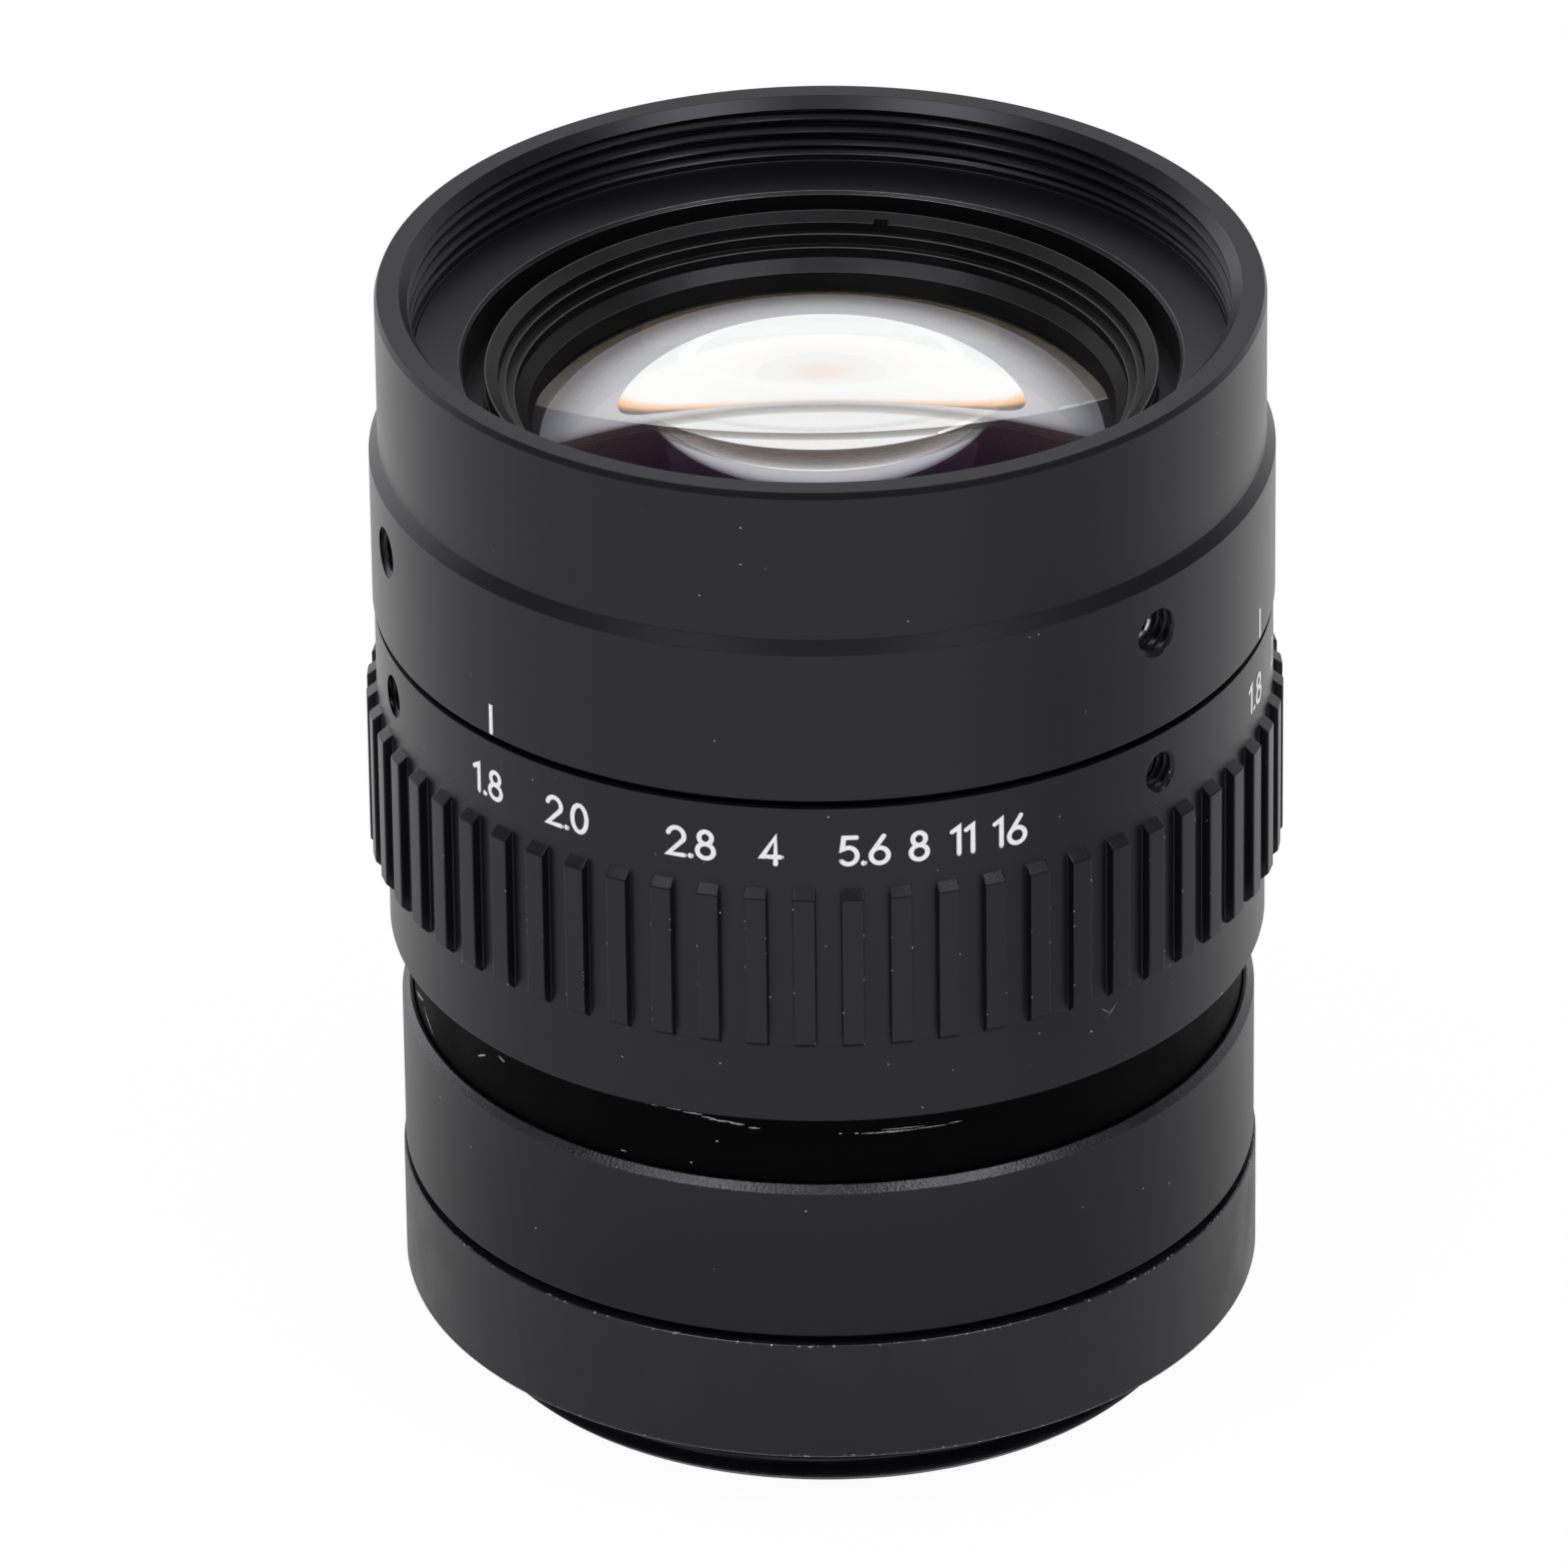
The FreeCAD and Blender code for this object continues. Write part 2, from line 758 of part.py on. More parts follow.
def iris_cam_ring():
    """Slotted ring that the drive screws turn, with one spiral slot for each blade."""
    plate_top = cam_bottom + cam_plate_height
    rim_bore = inner_radius - cam_rim_wall
    ring = turned([
        (cam_bore(), cam_bottom),
        (inner_radius, cam_bottom),
        (inner_radius, cam_top),
        (rim_bore, cam_top),
        (rim_bore, plate_top),
        (cam_bore(), plate_top),
    ])
    inner = rim_bore - cutter_over
    outer = inner_radius + cutter_over
    hole = radial_cylinder(drive_screw_diameter / 2, inner, outer, drive_screw_z)
    ring = without(ring, around(cam_slot(), blade_count, blade_azimuth(0)))
    return without(ring, around(hole, screw_count, drive_screw_azimuth))


def cam_bore():
    """Radius of the cam ring's bore, a web inside the slots."""
    return drive_pin_point(0.0).Length - hole_clearance - cam_web


def iris_cover():
    """Ring screwed into the tube above the cam ring."""
    return tube(inner_radius - cover_width, inner_radius, cover_bottom, cover_top)


def front_cell():
    """Cell that holds the front glass, with its threaded and notched rim in the opening."""
    nose = cam_bore() - side_clearance
    lip_bore = front_hollow + cell_lip_overlap
    body_top = tube_top + axial_play
    glass_bore = front_glass + glass_fit
    second_bore = second_glass + glass_fit
    doublet_bore = front_doublet + glass_fit
    body = turned([
        (lip_bore, lip_bottom),
        (nose, lip_bottom),
        (nose, cover_top),
        (inner_radius, cover_top),
        (inner_radius, body_top),
        (cell_thread, body_top),
        (cell_thread, cell_rim),
        (cell_bore, cell_rim - cell_rim_slope),
        (cell_bore, front_edge_top),
        (glass_bore, front_edge_top),
        (glass_bore, front_seat),
        (second_bore, front_seat),
        (second_bore, second_seat - spacer_flange_height),
        (doublet_bore, second_seat - spacer_flange_height),
        (doublet_bore, lip_top),
        (lip_bore, lip_top),
    ])
    notch = Part.makeBox(
        notch_bite + cutter_over,
        notch_width,
        retaining_ring_drop + cutter_over,
        Vector(cell_bore - cutter_over, -notch_width / 2, cell_rim - retaining_ring_drop),
    )
    return without(body, around(notch, notch_count, notch_azimuth))


def front_retaining_ring():
    """Stepped ring that holds the front glass down."""
    outer = cell_bore - slip_fit
    top = cell_rim - retaining_ring_drop
    step_radius = outer - retaining_ring_width
    second_radius = step_radius - retaining_step_width
    second_top = top - retaining_step_height
    third_top = second_top - retaining_step_height
    contact = front_vertex - drop(front_curve, front_aperture) + axial_play
    return turned([
        (front_aperture, contact),
        (outer, front_edge_top + glass_fit),
        (outer, top),
        (step_radius, top),
        (step_radius, second_top),
        (second_radius, second_top),
        (second_radius, third_top),
        (front_aperture + retaining_lip_width, third_top - retaining_step_height),
        (front_aperture, contact + retaining_lip_height),
    ])


def front_spacer():
    """Tube between the first and second glass."""
    inner = second_glass - spacer_wall
    bottom = second_vertex - drop(second_curve, inner) + glass_fit
    top = front_back - drop(front_back_curve, second_glass) - glass_fit
    return tube(inner, second_glass, bottom, top)


def doublet_spacer():
    """Flanged ring between the second glass and the front doublet."""
    foot_inner = front_doublet - spacer_wall
    foot = crown_vertex - drop(front_crown_curve, foot_inner) + axial_play
    flange = second_seat - spacer_flange_height
    return turned([
        (foot_inner, foot),
        (front_doublet, foot),
        (front_doublet, flange),
        (second_glass, flange),
        (second_glass, second_seat),
        (foot_inner, second_seat),
    ])


def rear_cell():
    """Stepped cell that holds the rear glass and hangs from the tube's web."""
    thread = web_bore - running_fit
    waist = thread - rear_waist_step
    shoulder_z = rear_cell_top - rear_thread_length
    waist_z = shoulder_z - rear_waist_length
    doublet_bore = rear_doublet + glass_fit
    seat_bore = rear_doublet - rear_seat_width
    seat_lip = rear_crown_back - drop(rear_crown_curve, seat_bore) - glass_fit
    ring_bore = rear_doublet + rear_ring_wall + slip_fit
    rear_bore = rear_glass + glass_fit
    rear_lip = rear_glass - rear_lip_width
    rear_top = rear_vertex - drop(rear_curve, rear_lip) + glass_fit
    field_bore = field_glass + glass_fit
    field_top = field_edge_top + glass_fit
    return turned([
        (field_bore, rear_cell_bottom),
        (rear_tip, rear_cell_bottom),
        (rear_tip, waist_z),
        (waist, waist_z),
        (waist, shoulder_z),
        (thread, shoulder_z),
        (thread, rear_cell_top),
        (ring_bore, rear_cell_top),
        (ring_bore, rear_ring_seat),
        (doublet_bore, rear_ring_seat),
        (doublet_bore, rear_crown_bottom - glass_fit),
        (seat_bore, seat_lip),
        (rear_lip, rear_top),
        (rear_bore, rear_top),
        (rear_bore, field_top),
        (field_bore, field_top),
    ])


def rear_doublet_ring():
    """Threaded ring above the rear doublet."""
    outer = rear_doublet + rear_ring_wall
    return tube(rear_hollow + rear_ring_overlap, outer, rear_ring_seat, rear_cell_top)


def rear_spacer():
    """Tube between the rear glass and the field glass."""
    inner = rear_glass - spacer_wall
    top = rear_back - drop(rear_back_curve, inner) - glass_fit
    bottom = field_vertex - drop(field_curve, rear_glass) + glass_fit
    return tube(inner, rear_glass, bottom, top)


def rear_retaining_ring():
    """Threaded ring that holds the field glass, seen from the camera side."""
    inner = field_glass - rear_retainer_width
    bottom = rear_cell_bottom + rear_retainer_recess
    top = field_back - drop(field_back_curve, inner) - glass_fit
    return turned([
        (inner, bottom + rear_retainer_chamfer),
        (inner + rear_retainer_chamfer, bottom),
        (field_glass, bottom),
        (field_glass, top),
        (inner, top),
    ])


def build():
    """Every piece by its node name."""
    pieces = {
        "mount_base": mount_base(),
        "guide_keys": guide_keys(),
        "focus_ring": focus_ring(),
        "focus_retainer": focus_retainer(),
        "main_barrel": main_barrel(),
        "front_barrel": front_barrel(),
        "index_screws": index_screws(),
        "iris_ring": iris_ring(),
        "drive_screws": drive_screws(),
        "iris_base": iris_base(),
        "iris_cam_ring": iris_cam_ring(),
        "iris_cover": iris_cover(),
        "front_cell": front_cell(),
        "front_retaining_ring": front_retaining_ring(),
        "front_element": glass(front_glass, front_vertex, front_curve, front_back, front_back_curve),
        "front_spacer": front_spacer(),
        "second_element": glass(second_glass, second_vertex, second_curve, second_back, second_back_curve),
        "doublet_spacer": doublet_spacer(),
        "front_doublet_crown": front_crown(),
        "front_doublet_flint": front_flint(),
        "rear_doublet_ring": rear_doublet_ring(),
        "rear_doublet_flint": rear_flint(),
        "rear_doublet_crown": rear_crown(),
        "rear_cell": rear_cell(),
        "rear_element": glass(rear_glass, rear_vertex, rear_curve, rear_back, rear_back_curve),
        "rear_spacer": rear_spacer(),
        "field_element": glass(field_glass, field_vertex, field_curve, field_back, field_back_curve),
        "rear_retaining_ring": rear_retaining_ring(),
    }
    for index in range(blade_count):
        pieces[f"iris_blade_{index + 1}"] = iris_blade(index)
    return pieces


os.makedirs("parts", exist_ok=True)
for node, shape in build().items():
    shape.exportStep(f"parts/{node}.step")
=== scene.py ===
import math
import random

import bpy
import numpy as np
from bpy.props import FloatProperty, FloatVectorProperty, IntProperty, PointerProperty
from bpy.types import Operator, Panel, PropertyGroup
from mathutils import Matrix, Vector


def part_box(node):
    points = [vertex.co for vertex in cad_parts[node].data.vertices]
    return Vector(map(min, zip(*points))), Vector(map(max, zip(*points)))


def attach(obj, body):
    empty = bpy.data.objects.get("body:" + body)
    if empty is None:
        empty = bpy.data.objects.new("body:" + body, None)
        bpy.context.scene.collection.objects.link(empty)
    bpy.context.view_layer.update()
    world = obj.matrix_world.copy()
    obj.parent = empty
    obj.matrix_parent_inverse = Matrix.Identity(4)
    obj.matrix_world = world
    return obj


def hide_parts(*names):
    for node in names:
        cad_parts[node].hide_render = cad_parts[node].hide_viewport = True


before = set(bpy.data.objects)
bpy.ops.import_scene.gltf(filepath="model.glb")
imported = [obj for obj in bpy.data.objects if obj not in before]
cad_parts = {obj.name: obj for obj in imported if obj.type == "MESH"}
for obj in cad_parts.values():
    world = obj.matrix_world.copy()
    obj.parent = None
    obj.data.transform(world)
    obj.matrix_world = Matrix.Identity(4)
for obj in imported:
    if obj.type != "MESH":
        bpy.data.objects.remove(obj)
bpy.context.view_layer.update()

bl_info = {
    "name": "Machine Vision Lens",
    "version": (1, 0, 0),
    "blender": (4, 5, 0),
    "location": "3D View > Sidebar > Lens",
    "description": "Dresses the packed machine vision lens piece by piece and sets its stage",
    "category": "Object",
}

MM = 0.001
ON_WALL = 0.02  # how near a profile point lies to a thread's wall to belong to it, in millimetres
ROWS_PER_PITCH = 14
RUN_OUT = 0.45  # share of a pitch over which a thread fades at its ends
CREST = 0.02  # share of a thread's depth that still counts as its crest
THIRDS = (0.0, 120.0, 240.0)  # turns of what stands three times round the lens, in degrees
STRAIGHT = 0.05  # turn in radians below which a corner isn't rounded
EDGE_SHARE = 0.45  # share of an edge that the rounding of its corner may take up
TINY = 1e-6


# Profiles and turned shapes

def node_heights(node):
    """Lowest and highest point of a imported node, in millimetres."""
    low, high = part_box(node)
    return low[2] / MM, high[2] / MM


def node_radius(node):
    """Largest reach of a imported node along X, in millimetres."""
    low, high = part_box(node)
    return (high[0] - low[0]) / 2 / MM


def rounded(corners, steps=3):
    """Closed profile from (radius, height, rounding) corners, and a mark on each outer rounding."""
    points = []
    marks = []
    count = len(corners)
    for k in range(count):
        before = np.array(corners[k - 1][:2])
        here = np.array(corners[k][:2])
        after = np.array(corners[(k + 1) % count][:2])
        size = corners[k][2]
        inward = (before - here) / np.linalg.norm(before - here)
        outward = (after - here) / np.linalg.norm(after - here)
        turn = math.pi - math.acos(float(np.clip(inward @ outward, -1, 1)))
        room = EDGE_SHARE * min(np.linalg.norm(before - here), np.linalg.norm(after - here))
        if size <= 0 or turn < STRAIGHT:
            points.append(tuple(here))
            marks.append(0.0)
            continue
        reach = min(size * math.tan(turn / 2), room)
        radius = reach / math.tan(turn / 2)
        middle = (inward + outward) / np.linalg.norm(inward + outward)
        centre = here + middle * radius / math.cos(turn / 2)
        start = here + inward * reach - centre
        cross = float(-inward[0] * outward[1] + inward[1] * outward[0])
        worn = 1.0 if cross > 0 else 0.0
        sweep = math.copysign(turn, cross)
        angle = math.atan2(start[1], start[0])
        for step in range(steps + 1):
            direction = angle + sweep * step / steps
            points.append(tuple(centre + radius * np.array([math.cos(direction), math.sin(direction)])))
            marks.append(worn if step < steps else 0.0)
    return points, marks


def divided(points, marks, low, high, step, radius):
    """Profile with the part of a wall between two heights cut into short rows."""
    new_points = []
    new_marks = []
    count = len(points)
    for k in range(count):
        start = points[k]
        end = points[(k + 1) % count]
        new_points.append(start)
        new_marks.append(marks[k])
        bottom = max(low, min(start[1], end[1]))
        top = min(high, max(start[1], end[1]))
        if abs(start[0] - end[0]) > TINY or abs(start[0] - radius) > ON_WALL or top - bottom < step:
            continue
        pieces = int((top - bottom) / step)
        levels = [bottom + (top - bottom) * piece / pieces for piece in range(pieces + 1)]
        for level in levels if end[1] > start[1] else reversed(levels):
            if abs(level - start[1]) > 1e-4 and abs(level - end[1]) > 1e-4:
                new_points.append((start[0], level))
                new_marks.append(0.0)
    return new_points, new_marks


def thread_wave(phase, crest=0.14, root=0.1):
    """Depth of a thread flank, 0 on its crest and 1 at its root, at a phase of the pitch."""
    place = np.abs((phase % 1.0) - 0.5) * 2.0
    return np.clip((place - crest) / (1.0 - crest - root), 0.0, 1.0)


def fade(value, low, high, soft):
    """1 between two heights, falling to 0 over a soft length at each end."""
    return np.clip((value - low) / soft, 0, 1) * np.clip((high - value) / soft, 0, 1)


def turned_grid(points, columns, relief=None):
    """Corner grid of a profile turned about Z, with a relief(angle, radius, height) added to its radius."""
    angle = np.arange(columns) * 2 * math.pi / columns
    radius = np.array([p[0] for p in points])[:, None] + 0 * angle[None, :]
    height = np.array([p[1] for p in points])[:, None] + 0 * angle[None, :]
    if relief is not None:
        radius = radius + relief(angle[None, :] + 0 * radius, radius, height)
    return np.stack([radius * np.cos(angle), radius * np.sin(angle), height], axis=-1)


def grid_faces(rows, columns, closed=True):
    """Four-sided faces over a grid that closes round its columns."""
    last = rows if closed else rows - 1
    faces = []
    for i in range(last):
        above = (i + 1) % rows
        for j in range(columns):
            beside = (j + 1) % columns
            here = i * columns
            over = above * columns
            faces.append((here + j, here + beside, over + beside, over + j))
    return faces


def mesh_piece(name, vertices, faces, finish, marks=None, smooth=True):
    """Mesh object from corners in millimetres, with the mark of edge wear and painted crest highlight on its
    faces.
    """
    mesh = bpy.data.meshes.new(name)
    mesh.from_pydata((np.asarray(vertices, dtype=float).reshape(-1, 3) * MM).tolist(), [], faces)
    edge = mesh.attributes.new("worn_edge_and_crest_sheen", "FLOAT", "FACE")
    if marks is not None:
        edge.data.foreach_set("value", np.asarray(marks, dtype=np.float32))
    mesh.materials.append(finish)
    mesh.polygons.foreach_set("use_smooth", [smooth] * len(mesh.polygons))
    mesh.update()
    piece = bpy.data.objects.new(name, mesh)
    bpy.context.scene.collection.objects.link(piece)
    return piece


def turned_piece(name, corners, columns, finish, thread=None, crest_sheen_mark=0.3, edge_mark=1.0):
    """Turned ring from its rounded profile. thread is (low, high, pitch, depth, radius of its crests)."""
    points, marks = rounded(corners)
    marks = [edge_mark * mark for mark in marks]
    if thread is None:
        grid = turned_grid(points, columns)
        return mesh_piece(name, grid, grid_faces(len(points), columns), finish, np.repeat(marks, columns))
    low, high, pitch, depth, radius = thread
    points, marks = divided(points, marks, low, high, pitch / ROWS_PER_PITCH, radius)

    def relief(angle, r, z):
        wave = thread_wave(z / pitch - angle / (2 * math.pi))
        cut = depth * wave * fade(z, low, high, pitch * RUN_OUT)
        return np.where(np.abs(r - radius) < ON_WALL, cut, 0.0)

    grid = turned_grid(points, columns, relief)
    # The lip of a crest gets part of the edge mark as a painted highlight: it lies between a row on the crest
    # and a cut row above it
    reach = np.hypot(grid[..., 0], grid[..., 1])
    share = np.clip(np.abs(reach - radius) / abs(depth), 0, 1)
    beyond = np.roll(share, -1, axis=0)
    falling = grid[..., 2] > np.roll(grid[..., 2], -1, axis=0)
    wall = (np.abs(np.array([p[0] for p in points]) - radius) < ON_WALL)[:, None]
    lip = wall & (np.where(falling, beyond, share) < CREST) & (np.where(falling, share, beyond) > CREST)
    worn = np.repeat(marks, columns)
    worn = np.where(lip.reshape(-1), np.maximum(worn, crest_sheen_mark), worn)
    return mesh_piece(name, grid, grid_faces(len(points), columns), finish, worn)


def cut_away(piece, cutters):
    """Takes the cutters out of a piece for good and deletes them."""
    for cutter in cutters:
        tool = piece.modifiers.new("hole", "BOOLEAN")
        tool.object = cutter
        tool.operation = "DIFFERENCE"
        tool.solver = "EXACT"
        graph = bpy.context.evaluated_depsgraph_get()
        mesh = bpy.data.meshes.new_from_object(piece.evaluated_get(graph))
        piece.modifiers.clear()
        piece.data = mesh
        bpy.data.objects.remove(cutter)


def read_values(items, attribute, width=1, kind=float):
    """Attribute of all items of a mesh as one array."""
    values = np.empty(len(items) * width, dtype=kind)
    items.foreach_get(attribute, values)
    return values.reshape(-1, width) if width > 1 else values


def turned_normals(piece, tangent_limit=0.06):
    """Shading normals that keep each face's slope and bend round the axis."""
    mesh = piece.data
    normal = read_values(mesh.polygons, "normal", 3)
    centre = read_values(mesh.polygons, "center", 3)
    around = np.arctan2(centre[:, 1], centre[:, 0])
    radial = normal[:, 0] * np.cos(around) + normal[:, 1] * np.sin(around)
    tangent = -normal[:, 0] * np.sin(around) + normal[:, 1] * np.cos(around)
    face = np.repeat(np.arange(len(mesh.polygons)), read_values(mesh.polygons, "loop_total", kind=np.int64))
    place = read_values(mesh.vertices, "co", 3)[read_values(mesh.loops, "vertex_index", kind=np.int64)]
    angle = np.arctan2(place[:, 1], place[:, 0])
    bent = np.stack([radial[face] * np.cos(angle), radial[face] * np.sin(angle), normal[face, 2]], axis=-1)
    final = np.where((np.abs(tangent[face]) < tangent_limit)[:, None], bent, normal[face])
    final /= np.maximum(np.linalg.norm(final, axis=1, keepdims=True), 1e-9)
    mesh.normals_split_custom_set(final.tolist())


def polar_place(azimuth, radius=0.0, z=0.0):
    """Matrix that puts a shape made along +X at an azimuth from -Y in degrees, a radius and a height."""
    turn = Matrix.Rotation(math.radians(azimuth - 90.0), 4, "Z")
    return turn @ Matrix.Translation((radius * MM, 0, z * MM))


def side_grid(rows, columns):
    """Corner grid round the X axis from (x, radius function) rows."""
    angle = np.arange(columns) * 2 * math.pi / columns
    grid = np.zeros((len(rows), columns, 3))
    for k, (x, radius) in enumerate(rows):
        size = radius(angle) if callable(radius) else radius + 0 * angle
        grid[k, :, 0] = x
        grid[k, :, 1] = size * np.cos(angle)
        grid[k, :, 2] = size * np.sin(angle)
    return grid


def placed_cutter(name, vertices, faces, azimuth, z=0.0):
    """Cutter made along +X and turned to an azimuth."""
    cutter = mesh_piece(name, vertices, faces, material("black_anodised"))
    cutter.matrix_world = polar_place(azimuth, 0, z)
    bpy.context.view_layer.update()
    return cutter


def drill(radius, sink_radius, surface, inner, azimuth, z, pitch, columns=56):
    """Cutter for a tapped radial hole with a small countersink at the surface."""
    depth = 0.55 * pitch
    flare = 0.4  # how far the countersink's cone runs on past the surface
    thread_end = surface - (sink_radius - radius - depth) - 0.04
    rows_per_pitch = 8
    count = int((thread_end - inner) / pitch * rows_per_pitch)

    def flank(x):
        return lambda angle: radius + depth * (1.0 - thread_wave(x / pitch - angle / (2 * math.pi)))

    steps = [inner + (thread_end - inner) * k / count for k in range(count + 1)]
    rows = [(x, flank(x)) for x in steps]
    rows += [(thread_end + 0.02, radius + depth), (surface + flare, sink_radius + flare)]
    faces = grid_faces(len(rows), columns, closed=False)
    last = (len(rows) - 1) * columns
    faces += [tuple(reversed(range(columns))), tuple(range(last, last + columns))]
    return placed_cutter("drill", side_grid(rows, columns), faces, azimuth, z)


def block(low, high, azimuth):
    """Box cutter between two corners in millimetres."""
    corners = [(x, y, z) for x in (low[0], high[0]) for y in (low[1], high[1]) for z in (low[2], high[2])]
    faces = [(0, 1, 3, 2), (4, 6, 7, 5), (0, 4, 5, 1), (2, 3, 7, 6), (0, 2, 6, 4), (1, 5, 7, 3)]
    return placed_cutter("block", corners, faces, azimuth)


def gathered(parts):
    """Corners and faces of several (corners, faces) parts as one."""
    vertices = []
    faces = []
    for points, polygons in parts:
        start = len(vertices)
        vertices += points
        faces += [tuple(start + k for k in polygon) for polygon in polygons]
    return vertices, faces


def joined(name, parts):
    """One object from several, keeping their places and materials."""
    materials = []
    marks = []
    slots = []
    shapes = []
    for part in parts:
        mesh = part.data
        for finish in mesh.materials:
            if finish not in materials:
                materials.append(finish)
        marks += [item.value for item in mesh.attributes["worn_edge_and_crest_sheen"].data]
        slots += [materials.index(mesh.materials[polygon.material_index]) for polygon in mesh.polygons]
        points = [tuple(part.matrix_world @ vertex.co) for vertex in mesh.vertices]
        shapes.append((points, [tuple(polygon.vertices) for polygon in mesh.polygons]))
    vertices, faces = gathered(shapes)
    piece = mesh_piece(name, np.array(vertices) / MM, faces, materials[0], marks)
    for finish in materials[1:]:
        piece.data.materials.append(finish)
    piece.data.polygons.foreach_set("material_index", slots)
    for part in parts:
        bpy.data.objects.remove(part)
    return piece


def paint_faces(piece, finish, chosen):
    """Gives a second finish to the faces for which chosen(radius, height, slope) holds."""
    piece.data.materials.append(material(finish))
    index = len(piece.data.materials) - 1
    for polygon in piece.data.polygons:
        reach = math.hypot(polygon.center.x, polygon.center.y) / MM
        if chosen(reach, polygon.center.z / MM, polygon.normal.z):
            polygon.material_index = index


def dressed(piece, body, slot, *nodes):
    """Puts a finished piece on its body, in place of the nodes it stands for."""
    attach(piece, body)
    if nodes:
        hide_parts(*nodes)
    return piece


# Shared effects

def feed(tree, node, inputs):
    """Fills inputs of a node, by name or number, with sockets or plain values."""
    for label, value in inputs.items():
        if isinstance(value, bpy.types.NodeSocket):
            tree.links.new(value, node.inputs[label])
        else:
            node.inputs[label].default_value = value


def add_node(tree, kind, inputs, **options):
    """Outputs of a new shader node with its options and inputs."""
    node = tree.nodes.new("ShaderNode" + kind)
    for label, value in options.items():
        setattr(node, label, value)
    feed(tree, node, inputs)
    return node.outputs


def place_on(tree):
    """Place on the piece, in its own metres."""
    return add_node(tree, "TexCoord", {})["Object"]


def add_math(tree, operation, *values, clamp=False):
    """Result of a math node over sockets or numbers."""
    return add_node(tree, "Math", dict(enumerate(values)), operation=operation, use_clamp=clamp)[0]


def add_noise(tree, scale, detail, roughness):
    """Noise in the piece's own metres."""
    inputs = {"Vector": place_on(tree), "Scale": scale, "Detail": detail, "Roughness": roughness}
    return add_node(tree, "TexNoise", inputs)["Fac"]


def ramp(tree, value, low, high):
    """Value stretched smoothly from a low and a high mark to 0 and 1."""
    inputs = {"Value": value, "From Min": low, "From Max": high}
    return add_node(tree, "MapRange", inputs, interpolation_type="SMOOTHSTEP")["Result"]


def bump(tree, height, distance):
    """Normal bent by a height between 0 and 1 over a distance in metres."""
    return add_node(tree, "Bump", {"Height": height, "Distance": distance, "Strength": 1.0})["Normal"]


def distance_from(tree, point):
    """Distance of a place on the piece from a point, in metres."""
    return add_node(tree, "VectorMath", {0: place_on(tree), 1: point}, operation="DISTANCE")["Value"]


def mix(tree, data_type, socket_type, mask, *ends):
    """Mix node between two sockets or values of one type."""
    node = tree.nodes.new("ShaderNodeMix")
    node.data_type = data_type
    slots = [k for k, s in enumerate(node.inputs) if s.type == socket_type and s.name in ("A", "B")]
    feed(tree, node, {"Factor": mask, slots[0]: ends[0], slots[1]: ends[1]})
    return [s for s in node.outputs if s.type == socket_type][0]


def mix_colour(tree, mask, *ends):
    """Colour mixed from two colours or sockets by a mask."""
    return mix(tree, "RGBA", "RGBA", mask, *[(*c, 1.0) if isinstance(c, tuple) else c for c in ends])


def mix_value(tree, mask, *ends):
    """Number mixed from two numbers or sockets by a mask."""
    return mix(tree, "FLOAT", "VALUE", mask, *ends)


def new_group(name, inputs, outputs):
    """Empty shader group with named number inputs and named outputs."""
    group = bpy.data.node_groups.new(name, "ShaderNodeTree")
    for label, default in inputs.items():
        socket = group.interface.new_socket(name=label, in_out="INPUT", socket_type="NodeSocketFloat")
        socket.default_value = default
    for label in outputs:
        group.interface.new_socket(name=label, in_out="OUTPUT", socket_type="NodeSocketFloat")
    return group, group.nodes.new("NodeGroupInput").outputs, group.nodes.new("NodeGroupOutput")


def make_grain_group():
    """Fine grain of a blasted and dyed surface: a height for bumps and a tone that wanders slowly."""
    group, given, result = new_group("fine_grain", {"Scale": 14000.0}, ["Height", "Tone"])
    fine = add_noise(group, given["Scale"], 3.0, 0.6)
    slow = add_noise(group, 420.0, 3.0, 0.5)
    feed(group, result, {"Height": fine, "Tone": ramp(group, slow, 0.3, 0.7)})


def make_wear_group():
    """Broken bright wear along rounded edges, and a painted highlight on thread crests."""
    group, given, result = new_group("edge_wear_and_sheen", {"Amount": 0.5, "Scale": 5000.0}, ["Mask"])
    mark = add_node(group, "Attribute", {}, attribute_name="worn_edge_and_crest_sheen")["Fac"]
    speckle = add_noise(group, given["Scale"], 4.0, 0.7)
    missing = add_math(group, "SUBTRACT", 1.0, given["Amount"])
    above = add_math(group, "SUBTRACT", speckle, add_math(group, "MULTIPLY_ADD", missing, 0.5, 0.25))
    sharp = add_math(group, "MULTIPLY", above, 9.0, clamp=True)
    feed(group, result, {"Mask": add_math(group, "MULTIPLY", sharp, mark, clamp=True)})


def make_dust_group():
    """Sparse dust specks that lie on a surface."""
    group, given, result = new_group("dust_specks", {"Amount": 0.3, "Scale": 900.0}, ["Mask"])
    cells = add_node(group, "TexVoronoi", {"Vector": place_on(group), "Scale": given["Scale"]})
    chance = add_node(group, "SeparateColor", {"Color": cells["Color"]})
    chosen = add_math(group, "LESS_THAN", chance["Red"], given["Amount"])
    size = add_math(group, "MULTIPLY", chance["Green"], 0.05)
    speck = add_math(group, "LESS_THAN", cells["Distance"], size)
    feed(group, result, {"Mask": add_math(group, "MULTIPLY", chosen, speck)})


def place_group(tree, name, **values):
    """Outputs of a group node with its own input values."""
    return add_node(tree, "Group", values, node_tree=bpy.data.node_groups[name])


def new_surface(name):
    """Tree of a new material, and its Principled shader."""
    finish = bpy.data.materials.new(name)
    finish.use_nodes = True
    return finish.node_tree, finish.node_tree.nodes["Principled BSDF"]


